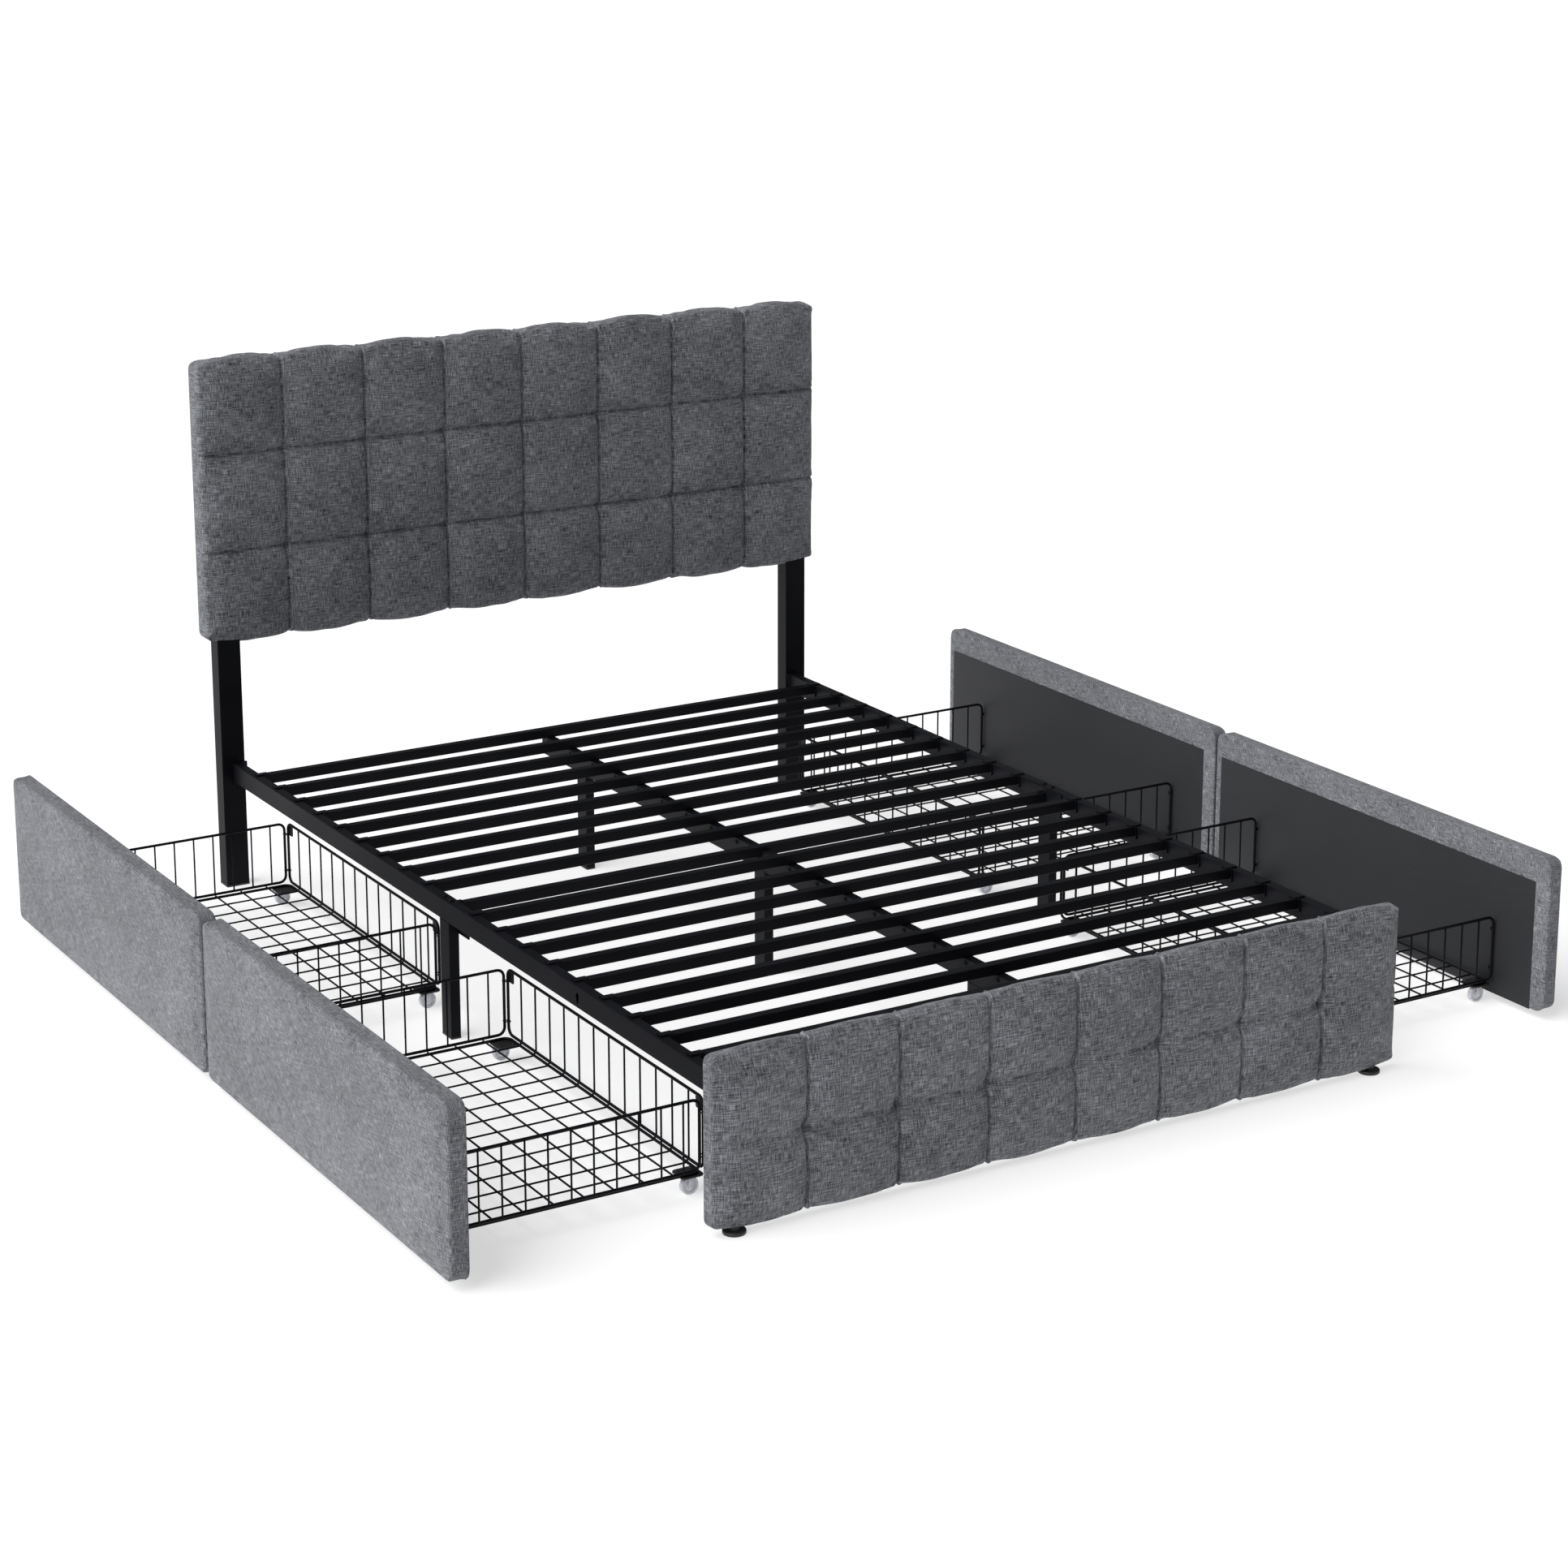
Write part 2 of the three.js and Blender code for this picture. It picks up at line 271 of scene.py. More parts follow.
def along(edge, axis, share=0.999):
    """Whether an edge runs along an axis, given as 0, 1 or 2."""
    way = edge.verts[1].co - edge.verts[0].co
    return way.length > 0 and abs(way[axis]) > share * way.length


def finish_normals(piece):
    edit(piece)
    bpy.ops.mesh.select_all(action="SELECT")
    bpy.ops.mesh.remove_doubles(threshold=1e-6)
    bpy.ops.mesh.normals_make_consistent(inside=False)
    close()


def smooth(piece, degrees=35, weighted=False):
    select_only(piece)
    bpy.ops.object.shade_smooth_by_angle(angle=math.radians(degrees))
    if weighted:
        even = piece.modifiers.new("even", "WEIGHTED_NORMAL")
        even.keep_sharp = True
        bpy.ops.object.modifier_apply(modifier=even.name)
    return piece


def plate(name, low, high, corner, edge, steps=5):
    """A flat plate between two corners: round corners, and an eased rim."""
    low, high = Vector(low), Vector(high)
    size = high - low
    thin = min(range(3), key=lambda axis: size[axis])
    select_only()
    bpy.ops.mesh.primitive_cube_add(size=1, location=(low + high) / 2, scale=size)
    piece = named(name)
    edit(piece)
    pick(piece, "EDGE", lambda part: along(part, thin))
    bpy.ops.mesh.bevel(offset=corner, segments=steps, affect="EDGES")
    if edge:
        pick(piece, "EDGE", lambda part: not along(part, thin, 0.5))
        bpy.ops.mesh.bevel(offset=edge, segments=2, affect="EDGES")
    close()
    return smooth(piece)


def bolt(name, place, way, radius, height):
    """A button-head bolt with a hexagon socket; way is the direction its head faces."""
    select_only()
    turn = Vector(way).to_track_quat("Z", "Y").to_euler()
    middle = Vector(place) + Vector(way) * height / 2
    bpy.ops.mesh.primitive_cylinder_add(vertices=24, radius=radius, depth=height)
    piece = named(name)
    edit(piece)
    pick(piece, "FACE", lambda part: part.normal.z > 0.9)
    bpy.ops.mesh.bevel(offset=height * 0.55, segments=3, affect="EDGES")
    pick(piece, "FACE", lambda part: part.normal.z > 0.99)
    bpy.ops.mesh.inset(thickness=radius * 0.22, depth=0)
    bpy.ops.mesh.inset(thickness=radius * 0.03, depth=-height * 0.5)
    close()
    piece.data.transform(Matrix.Translation(middle) @ turn.to_matrix().to_4x4())
    return smooth(piece)


def drill(piece, place, radius, lower_radius, drop):
    """A hole through a tube's side wall; with a drop it is a keyhole, narrow end down."""
    cutters = []
    for size, fall in ((radius, 0.0), (lower_radius, drop))[: 2 if drop else 1]:
        middle = Vector(place) - Vector((0, 0, fall))
        select_only()
        bpy.ops.mesh.primitive_cylinder_add(
            vertices=24, radius=size, depth=0.006, location=middle, rotation=(0, QUARTER, 0)
        )
        cutters.append(named("cutter"))
    cutter = join("cutter", cutters)
    if drop:
        edit(cutter)
        bpy.ops.mesh.select_all(action="SELECT")
        bpy.ops.mesh.convex_hull()
        close()
    select_only(piece)
    hole = piece.modifiers.new("hole", "BOOLEAN")
    hole.operation, hole.solver, hole.object = "DIFFERENCE", "EXACT", cutter
    bpy.ops.object.modifier_apply(modifier=hole.name)
    bpy.data.objects.remove(cutter)
    return smooth(piece, 35, weighted=True)


def wire(start, end, thickness, sides=8):
    """A straight wire with eased ends."""
    start, end = Vector(start), Vector(end)
    way = end - start
    select_only()
    bpy.ops.mesh.primitive_cylinder_add(
        vertices=sides,
        radius=thickness / 2,
        depth=way.length,
        location=(start + end) / 2,
        rotation=way.to_track_quat("Z", "Y").to_euler(),
        end_fill_type="NGON",
    )
    piece = named("wire")
    edit(piece)
    pick(piece, "FACE", lambda part: len(part.verts) == sides)
    bpy.ops.mesh.bevel(offset=thickness * 0.15, segments=1, affect="EDGES")
    close()
    return piece


def wire_loop(width, height, bend, thickness, sides=10):
    """A closed rectangle of wire with bent corners, in the XY plane round the origin."""
    x, y = width / 2 - bend, height / 2 - bend
    corners = [(x, -y), (x, y), (-x, y), (-x, -y)]
    legs = [(2 * x, 0), (0, 2 * y), (-2 * x, 0), (0, -2 * y)]
    select_only()
    bpy.ops.mesh.primitive_circle_add(
        vertices=sides,
        radius=thickness / 2,
        location=(-x, -height / 2, 0),
        rotation=(0, QUARTER, 0),
    )
    piece = named("loop")
    edit(piece)
    bpy.ops.mesh.select_mode(type="EDGE")
    bpy.ops.mesh.select_all(action="SELECT")
    for corner, leg in zip(corners, legs):
        bpy.ops.mesh.extrude_region_move(TRANSFORM_OT_translate={"value": (*leg, 0)})
        # With no window, spin turns the other way, so a left turn has a minus angle.
        bpy.ops.mesh.spin(steps=6, angle=-QUARTER, center=(*corner, 0), axis=(0, 0, 1))
    close()
    finish_normals(piece)
    return piece


def tie(place, way, apart, reach, across, thickness):
    """A thin wire ring round two rims that run along way and lie apart from each other."""
    select_only()
    bpy.ops.mesh.primitive_torus_add(
        major_segments=20, minor_segments=6, major_radius=across, minor_radius=thickness / 2
    )
    piece = named("tie")
    edit(piece)
    bpy.ops.mesh.select_all(action="SELECT")
    bpy.ops.transform.resize(value=(reach / across, 1, 1.8), center_override=(0, 0, 0))
    close()
    way, apart = Vector(way), Vector(apart)
    turn = Matrix((apart, way.cross(apart), way)).transposed().to_4x4()
    piece.data.transform(Matrix.Translation(place) @ turn)
    return piece


def join(name, parts):
    select_only(*parts)
    if len(parts) > 1:
        bpy.ops.object.join()
    piece = bpy.context.object
    piece.name = name
    piece.data.name = name
    return piece


def copy(piece, name, place=None):
    """A copy with its own mesh, moved in its mesh."""
    twin = bpy.data.objects.new(name, piece.data.copy())
    twin.data.name = name
    bpy.context.scene.collection.objects.link(twin)
    if place is not None:
        twin.data.transform(place)
    return twin


def shifts(part, steps):
    """The part and copies of it, moved by each step."""
    return [part] + [copy(part, "again", Matrix.Translation(step)) for step in steps]


def paint(piece, *materials):
    piece.data.materials.clear()
    for material in materials:
        piece.data.materials.append(material)
    return piece


def read(piece):
    flat = np.empty(len(piece.data.vertices) * 3, np.float32)
    piece.data.vertices.foreach_get("co", flat)
    return flat.reshape(-1, 3).astype(float)


def write(piece, places):
    piece.data.vertices.foreach_set("co", places.astype(np.float32).ravel())
    piece.data.update()


def rising(value, low, high):
    """0 below low, 1 above high, and a smooth step between."""
    t = np.clip((value - low) / (high - low), 0, 1)
    return t * t * (3 - 2 * t)


# ---------------------------------------------------------------- materials


class Finish:
    """A node material under construction."""

    def __init__(self, name):
        self.material = bpy.data.materials.new(name)
        self.material.use_nodes = True
        self.tree = self.material.node_tree
        self.shader = self.tree.nodes["Principled BSDF"]

    def set(self, **values):
        for name, value in values.items():
            self.shader.inputs[name.replace("_", " ")].default_value = value

    def node(self, kind, inputs=None, **options):
        node = self.tree.nodes.new("ShaderNode" + kind)
        for name, value in options.items():
            setattr(node, name, value)
        for name, value in (inputs or {}).items():
            if isinstance(value, bpy.types.NodeSocket):
                self.tree.links.new(value, node.inputs[name])
            else:
                node.inputs[name].default_value = value
        return node

    def place(self, scale=(1, 1, 1), turn=(0, 0, 0), source=None):
        """Object coordinates, or the given ones, scaled and turned."""
        if source is None:
            source = self.node("TexCoord").outputs["Object"]
        options = {"Vector": source, "Scale": scale, "Rotation": turn}
        return self.node("Mapping", options).outputs["Vector"]

    def noise(self, place, scale, detail=2, rough=0.5):
        inputs = {"Vector": place, "Scale": scale, "Detail": detail, "Roughness": rough}
        return self.node("TexNoise", inputs).outputs["Fac"]

    def maths(self, operation, first, second=0.0, third=None):
        inputs = {0: first, 1: second}
        if third is not None:
            inputs[2] = third
        return self.node("Math", inputs, operation=operation).outputs[0]

    def ramp(self, value, stops):
        node = self.node("ValToRGB", {"Fac": value})
        bar = node.color_ramp
        while len(bar.elements) < len(stops):
            bar.elements.new(0.5)
        for element, (where, colour) in zip(bar.elements, stops):
            element.position = where
            element.color = (*colour, 1)
        return node.outputs["Color"]

    def blend(self, share, first, second, kind="MIX"):
        node = self.node("Mix", data_type="RGBA", blend_type=kind)
        for index, value in ((0, share), (6, first), (7, second)):
            if isinstance(value, bpy.types.NodeSocket):
                self.tree.links.new(value, node.inputs[index])
            else:
                node.inputs[index].default_value = value
        return node.outputs[2]

    def link(self, value, name):
        self.tree.links.new(value, self.shader.inputs[name])

    def bump(self, height, strength, distance):
        inputs = {"Height": height, "Strength": strength, "Distance": distance}
        self.link(self.node("Bump", inputs).outputs["Normal"], "Normal")


def grey(value):
    return (value, value, value)


def linen_cloth(name, grain=1.0, contrast=1.0, lift=0.0):
    """Heathered plain weave: each yarn changes tone along its length."""
    look = settings("bed_upholstery")
    pitch = look.yarn_pitch / grain
    finish = Finish(name)
    weave = finish.node("UVMap", uv_map="weave").outputs["UV"]
    parts = finish.node("SeparateXYZ", {"Vector": weave})
    half_turn = math.pi / pitch
    across = finish.maths("SINE", finish.maths("MULTIPLY", parts.outputs["X"], half_turn))
    upward = finish.maths("SINE", finish.maths("MULTIPLY", parts.outputs["Y"], half_turn))
    over = finish.maths("GREATER_THAN", finish.maths("MULTIPLY", across, upward), 0.0)
    weft = finish.noise(finish.place((30 * grain, 470 * grain, 1), source=weave), 1, 3, 0.62)
    warp = finish.noise(finish.place((440 * grain, 44 * grain, 1), source=weave), 1, 3, 0.62)
    fine = finish.noise(finish.place((900 * grain, 900 * grain, 1), source=weave), 1, 1)
    blotch = finish.noise(finish.place((16, 24, 1), source=weave), 1, 3)
    broad = finish.noise(finish.place((4, 5, 1), source=weave), 1, 1)
    even = finish.maths("MULTIPLY_ADD", weft, 0.5, finish.maths("MULTIPLY", warp, 0.5))
    laid = finish.maths(
        "ADD",
        finish.maths("MULTIPLY", weft, over),
        finish.maths("MULTIPLY", warp, finish.maths("SUBTRACT", 1.0, over)),
    )
    tone = finish.maths("MULTIPLY_ADD", laid, 0.45, finish.maths("MULTIPLY", even, 0.55))
    tone = finish.maths("MULTIPLY_ADD", finish.maths("SUBTRACT", fine, 0.5), 0.08, tone)
    tone = finish.maths("MULTIPLY_ADD", finish.maths("SUBTRACT", blotch, 0.5), 0.10, tone)
    tone = finish.maths("MULTIPLY_ADD", finish.maths("SUBTRACT", broad, 0.5), 0.07, tone)
    # lift raises the whole tone; on the drawers' cloth it is painted light, a touch lighter than
    # the boards' cloth
    tone = finish.maths("MULTIPLY_ADD", finish.maths("SUBTRACT", tone, 0.5), contrast, 0.5 + lift)
    dark, light = Vector(look.dark_yarn), Vector(look.light_yarn)
    stops = [(0.38, dark), (0.47, dark.lerp(light, 0.25)), (0.53, dark.lerp(light, 0.44))]
    colour = finish.ramp(tone, stops + [(0.63, light)])
    finish.link(colour, "Base Color")
    finish.set(Roughness=0.92, Sheen_Weight=0.18, Sheen_Roughness=0.45)
    finish.set(Specular_IOR_Level=0.18)
    crown = finish.maths(
        "ADD",
        finish.maths("MULTIPLY", finish.maths("ABSOLUTE", upward), over),
        finish.maths(
            "MULTIPLY", finish.maths("ABSOLUTE", across), finish.maths("SUBTRACT", 1.0, over)
        ),
    )
    slub = finish.maths("MULTIPLY_ADD", even, 1.4, finish.maths("MULTIPLY", crown, 0.7))
    finish.bump(slub, 0.55, 0.5 * MM)
    return finish.material


def powder_coat(name, colour, rough=0.46):
    """Satin powder coat, with a faint orange peel and a slightly rubbed look."""
    finish = Finish(name)
    place = finish.place()
    peel = finish.noise(place, 900, 2)
    cloud = finish.noise(place, 9, 3)
    tint = Vector(colour)
    rubbed = tint * 1.6 + Vector((0.0006, 0.0006, 0.0008))
    finish.link(finish.ramp(cloud, [(0.35, tint), (0.7, rubbed)]), "Base Color")
    shine = finish.maths("MULTIPLY_ADD", cloud, 0.14, rough - 0.07)
    finish.link(shine, "Roughness")
    finish.set(Specular_IOR_Level=0.08)
    finish.bump(peel, 0.12, 0.15 * MM)
    return finish.material


def backing_board():
    """Dark laminated board with a fine, even grain."""
    finish = Finish("backing_board")
    place = finish.place()
    grain = finish.noise(finish.place((300, 30, 300)), 1, 3)
    cloud = finish.noise(place, 3, 2)
    tint = Vector(settings("bed_upholstery").backing_colour)
    colour = finish.ramp(cloud, [(0.3, tint * 0.92), (0.7, tint * 1.1)])
    speck = finish.ramp(grain, [(0.35, grey(0.9)), (0.7, grey(1.08))])
    finish.link(finish.blend(1.0, colour, speck, "MULTIPLY"), "Base Color")
    finish.link(finish.maths("MULTIPLY_ADD", grain, 0.1, 0.5), "Roughness")
    finish.set(Specular_IOR_Level=0.25)
    finish.bump(grain, 0.1, 0.1 * MM)
    return finish.material


def dust_cloth():
    """Thin black bonded cloth with its pattern of small welds."""
    finish = Finish("dust_cloth")
    place = finish.place()
    dots = finish.node("TexVoronoi", {"Vector": place, "Scale": 420.0, "Randomness": 0.25})
    fibre = finish.noise(place, 700, 3)
    colour = finish.ramp(dots.outputs["Distance"], [(0.12, grey(0.006)), (0.4, grey(0.017))])
    finish.link(colour, "Base Color")
    finish.set(Roughness=0.85, Specular_IOR_Level=0.2)
    height = finish.maths("MULTIPLY_ADD", fibre, 0.5, dots.outputs["Distance"])
    finish.bump(height, 0.4, 0.3 * MM)
    return finish.material


def moulded_plastic(name, colour, rough, glow=0.0):
    """Moulded plastic with a fine texture and light scuffs."""
    finish = Finish(name)
    place = finish.place()
    grain = finish.noise(place, 1300, 2)
    scuff = finish.noise(finish.place((60, 60, 260)), 1, 4)
    tint = Vector(colour)
    finish.link(finish.ramp(scuff, [(0.4, tint * 0.9), (0.75, tint * 1.12)]), "Base Color")
    finish.link(finish.maths("MULTIPLY_ADD", scuff, 0.2, rough - 0.1), "Roughness")
    finish.set(Subsurface_Weight=glow, Subsurface_Scale=0.004)
    finish.bump(grain, 0.15, 0.1 * MM)
    return finish.material


MADE = {}


def made(maker, *arguments):
    """Each material is made once."""
    key = (maker.__name__, *map(str, arguments[:1]))
    if key not in MADE:
        MADE[key] = maker(*arguments)
    return MADE[key]


def board_linen():
    """The cloth of the headboard and footboard."""
    return made(linen_cloth, "board_linen", 1.3)


def drawer_linen():
    """The drawer fronts' cloth, with a finer and more even grain, and a touch lighter: painted
    light that makes up for the light the drawers' inner faces miss.
    """
    return made(linen_cloth, "drawer_linen", 1.6, 0.95, 0.002)


def steel_paint():
    return made(powder_coat, "frame_powder_coat", settings("bed_steel").paint_colour)


def wire_paint():
    return made(powder_coat, "basket_powder_coat", settings("bed_steel").paint_colour, 0.4)


def wheel_plastic():
    return made(moulded_plastic, "caster_plastic", settings("bed_steel").wheel_colour, 0.38, 0.05)


def black_plastic():
    return made(moulded_plastic, "black_plastic", (0.012, 0.012, 0.013), 0.5)


# ---------------------------------------------------------------- padded boards


@dataclass
class Board:
    """A padded board in its own plane, its face at -Y and its middle at the origin."""

    width: float
    height: float
    depth: float
    corner: float
    seams: list = field(default_factory=list)  # upright seams, places along X
    tucks: list = field(default_factory=list)  # level tucks, places along Z
    tucks_held: bool = True  # whether a tuck is sewn down along its whole length
    columns: int = 20  # mesh spaces from seam to seam
    rows: int = 20
    edge: float = 0.006  # radius from the face to the side
    back_edge: float = 0.004
    set_back: float = 0.010  # face behind its final place before it is filled
    pull: float = 0.004  # depth of the pull where seams cross
    pull_reach: float = 0.016
    row_crown: float = 0.004  # swell that lifts the seams too
    cell_crown: float = 0.0  # rounder middle to each cell
    scallop: float = 0.0  # how far the top and bottom bow out between the seams
    sink_top: float = 0.0  # how far the cloth is drawn in along the top and the bottom
    sink_bottom: float = 0.0
    face_limit: float = 0.014
    side_limit: float = 0.003
    slack: float = 0.012  # extra cloth
    groove: float = 0.003
    groove_width: float = 0.0024
    welt: float = 0.001
    tuck_groove: float = 0.003
    tuck_width: float = 0.003
    frames: int = 20

    @property
    def flat(self):
        """Half width and half height of the flat face, inside the rounded edge."""
        return self.width / 2 - self.edge, self.height / 2 - self.edge


CROWDING = 0.72  # how much closer the mesh lies near a seam


def spread(stops, count):
    """Places from stop to stop, count to each space, closer together near the stops."""
    places = [stops[0]]
    for low, high in zip(stops, stops[1:]):
        for i in range(1, count + 1):
            t = i / count
            t -= CROWDING * math.sin(2 * math.pi * t) / (2 * math.pi)
            places.append(low + (high - low) * t)
    return np.array(places)


def board_rings(board):
    """How far out and how deep each ring of the cover lies, from the face to the back."""
    depth = board.depth - board.set_back
    rings = []
    for step in range(1, 5):
        angle = QUARTER * step / 4
        rings.append((board.edge * math.sin(angle), board.edge * (1 - math.cos(angle))))
    band = depth - board.edge - board.back_edge
    count = max(2, round(band / 0.007))
    rings += [(board.edge, board.edge + band * step / count) for step in range(1, count + 1)]
    for step in range(1, 4):
        angle = QUARTER * step / 3
        out = board.edge - board.back_edge * (1 - math.cos(angle))
        rings.append((out, depth - board.back_edge * (1 - math.sin(angle))))
    inner = board.edge - board.back_edge
    return rings + [(inner - 0.02, depth), (inner - 0.045, depth), (inner - 0.08, depth)]


def board_blank(name, board):
    """A grid for the face, extruded round the sides and in over the back."""
    half_x, half_z = board.flat
    xs = spread([-half_x, *board.seams, half_x], board.columns)
    zs = spread([-half_z, *board.tucks, half_z], board.rows)
    select_only()
    bpy.ops.mesh.primitive_grid_add(
        x_subdivisions=len(xs) - 1, y_subdivisions=len(zs) - 1, size=1, rotation=(QUARTER, 0, 0)
    )
    piece = named(name)
    places = read(piece)
    places[:, 0] = xs[np.rint((places[:, 0] + 0.5) * (len(xs) - 1)).astype(int)]
    places[:, 2] = zs[np.rint((places[:, 2] + 0.5) * (len(zs) - 1)).astype(int)]
    write(piece, places)
    edit(piece)
    pick(piece, "EDGE", lambda part: part.is_boundary)
    out, deep = 0.0, 0.0
    for next_out, next_deep in board_rings(board):
        bpy.ops.mesh.extrude_region_move(
            TRANSFORM_OT_translate={"value": (0, next_deep - deep, 0)}
        )
        scale = [(half + next_out) / (half + out) for half in (half_x, half_z)]
        bpy.ops.transform.resize(value=(scale[0], 1, scale[1]), center_override=(0, 0, 0))
        out, deep = next_out, next_deep
    close()
    put_in_order(piece)
    return piece


def put_in_order(piece):
    """Gives the faces one fixed order, because the filling comes out uneven from run to run
    when extruding leaves them in another."""
    loose = piece.data
    rings = [list(face.vertices) for face in loose.polygons]
    firsts = [ring.index(min(ring)) for ring in rings]
    faces = sorted(ring[first:] + ring[:first] for ring, first in zip(rings, firsts))
    mesh = bpy.data.meshes.new(piece.name)
    mesh.from_pydata([vertex.co[:] for vertex in loose.vertices], [], faces)
    piece.data = mesh
    bpy.data.meshes.remove(loose)
    mesh.name = piece.name


def unroll(places, board):
    """Where each point of the blank lies on the cloth, in metres, from the face's middle."""
    half_x, half_z = board.flat
    depth = board.depth - board.set_back
    x, y, z = places.T
    angle = np.arccos(np.clip(1 - y / board.edge, 0, 1))
    reach = board.edge * angle + np.maximum(y - board.edge, 0)
    on_back = y > depth - 1e-5
    inset_x, inset_z = board.width / 2 - np.abs(x), board.height / 2 - np.abs(z)
    reach = reach + np.where(on_back, np.minimum(inset_x, inset_z), 0)
    at_x = np.where(on_back, inset_x <= inset_z + 1e-6, np.abs(x) > half_x - 1e-6)
    at_z = np.where(on_back, inset_z < inset_x + 1e-6, np.abs(z) > half_z - 1e-6)
    u = np.where(at_x, np.sign(x) * (half_x + reach), np.clip(x, -half_x, half_x))
    v = np.where(at_z, np.sign(z) * (half_z + reach), np.clip(z, -half_z, half_z))
    return np.stack([u, v], 1)


def round_corners(places, board):
    """Turns the board's square corners into round ones."""
    radius = board.corner
    u = (np.abs(places[:, 0]) - board.width / 2 + radius) / radius
    v = (np.abs(places[:, 2]) - board.height / 2 + radius) / radius
    inside = (u > 0) & (v > 0)
    u, v = u[inside], v[inside]
    new_u = u * np.sqrt(np.maximum(1 - v * v / 2, 0))
    new_v = v * np.sqrt(np.maximum(1 - u * u / 2, 0))
    sign_x, sign_z = np.sign(places[inside, 0]), np.sign(places[inside, 2])
    places[inside, 0] = sign_x * (board.width / 2 - radius + new_u * radius)
    places[inside, 2] = sign_z * (board.height / 2 - radius + new_v * radius)
    return places


def fill(piece, held, limit, board):
    """Blows the cover up like a filled cushion, held where it is sewn or stapled."""
    group = piece.vertex_groups.new(name="held")
    group.add([int(i) for i in np.flatnonzero(held)], 1.0, "REPLACE")
    cloth = piece.modifiers.new("filling", "CLOTH")
    cloth.settings.quality = 5
    cloth.settings.vertex_group_mass = group.name
    cloth.settings.use_pressure = True
    cloth.settings.uniform_pressure_force = settings("bed_upholstery").pressure
    cloth.settings.shrink_min = -board.slack
    cloth.settings.effector_weights.gravity = 0
    cloth.collision_settings.use_collision = False
    cloth.point_cache.frame_end = board.frames
    scene = bpy.context.scene
    for number in range(1, board.frames + 1):
        scene.frame_set(number)
    start = read(piece)
    solved = piece.evaluated_get(bpy.context.evaluated_depsgraph_get())
    flat = np.empty(len(start) * 3, np.float32)
    solved.data.vertices.foreach_get("co", flat)
    moved = flat.reshape(-1, 3) - start
    piece.modifiers.remove(cloth)
    piece.vertex_groups.clear()
    scene.frame_set(1)
    length = np.maximum(np.linalg.norm(moved, axis=1), 1e-9)
    print(f"{piece.name}: cloth moved up to {length.max() * 1000:.1f} mm")
    kept = limit * np.tanh(length / np.maximum(limit, 1e-6))
    write(piece, start + moved * (kept / length)[:, None])


def swell_cells(piece, uv, board, rise, power):
    """Raises the middle of each cell; with no simulation it stands in for the filling."""
    half_x, half_z = board.flat
    swell = np.ones(len(uv))
    for axis, stops in ((0, [-half_x, *board.seams, half_x]), (1, [-half_z, *board.tucks, half_z])):
        share = np.zeros(len(uv))
        for low, high in zip(stops, stops[1:]):
            t = np.clip((uv[:, axis] - low) / (high - low), 0, 1)
            share = np.maximum(share, np.sin(math.pi * t) ** power)
        swell *= share
    places = read(piece)
    places[:, 1] -= swell * rise
    write(piece, places)


def cloth_places(piece):
    """The unrolled place of each vertex, from the UV map."""
    mesh = piece.data
    corners = np.empty(len(mesh.loops), np.int32)
    mesh.loops.foreach_get("vertex_index", corners)
    flat = np.empty(len(mesh.loops) * 2, np.float32)
    mesh.uv_layers["weave"].data.foreach_get("uv", flat)
    uv = np.zeros((len(mesh.vertices), 2))
    uv[corners] = flat.reshape(-1, 2)
    return uv


def padded_board(name, board):
    """The filled cover of a board, with its seams and tucks sewn in."""
    piece = board_blank(name, board)
    places = read(piece)
    uv = unroll(places, board)
    half_x, half_z = board.flat
    depth = board.depth - board.set_back
    mesh = piece.data
    corners = np.empty(len(mesh.loops), np.int32)
    mesh.loops.foreach_get("vertex_index", corners)
    for layer in list(mesh.uv_layers):
        mesh.uv_layers.remove(layer)
    layer = mesh.uv_layers.new(name="weave")
    layer.data.foreach_set("uv", uv[corners].astype(np.float32).ravel())
    on_back = places[:, 1] > depth - board.back_edge - 1e-5
    held = on_back.copy()
    for seam in board.seams:
        held |= np.abs(uv[:, 0] - seam) < 1e-4
    for tuck in board.tucks:
        if board.tucks_held:
            held |= (np.abs(uv[:, 1] - tuck) < 1e-4) & (np.abs(uv[:, 0]) < half_x - 0.004)
    for seam in board.seams:
        for tuck in board.tucks:
            away = np.hypot(uv[:, 0] - seam, uv[:, 1] - tuck)
            places[:, 1] += board.pull * np.exp(-((away / board.pull_reach) ** 2)) * ~on_back
    places = round_corners(places, board)
    places[:, 1] += board.set_back
    write(piece, places)
    rim = np.minimum(half_x - np.abs(uv[:, 0]), half_z - np.abs(uv[:, 1]))
    limit = board.side_limit + (board.face_limit - board.side_limit) * rising(rim, 0, 0.03)
    fill(piece, held, limit, board)
    lift_rows(piece, uv, board, on_back)
    swell_cells(piece, uv, board, board.cell_crown, 1.0)
    bow_edges(piece, uv, board)
    select_only(piece)
    finer = piece.modifiers.new("finer", "SUBSURF")
    finer.levels = finer.render_levels = 1
    bpy.ops.object.modifier_apply(modifier=finer.name)
    edit(piece)
    pick(piece, "EDGE", lambda part: part.is_boundary)
    bpy.ops.mesh.edge_face_add()
    bpy.ops.mesh.select_all(action="SELECT")
    bpy.ops.mesh.normals_make_consistent(inside=False)
    close()
    sew(piece, board)
    bpy.ops.object.shade_smooth()
    return piece


def lift_rows(piece, uv, board, on_back):
    """Swells each row as a whole, so that the seams rise between the crossings."""
    half_x, half_z = board.flat
    stops = [-half_z, *board.tucks, half_z]
    lift = np.zeros(len(uv))
    for low, high in zip(stops, stops[1:]):
        t = np.clip((uv[:, 1] - low) / (high - low), 0, 1)
        lift = np.maximum(lift, np.sin(math.pi * t))
    lift *= rising(half_x - np.abs(uv[:, 0]), -0.005, 0.07) * ~on_back
    places = read(piece)
    places[:, 1] -= board.row_crown * lift
    write(piece, places)


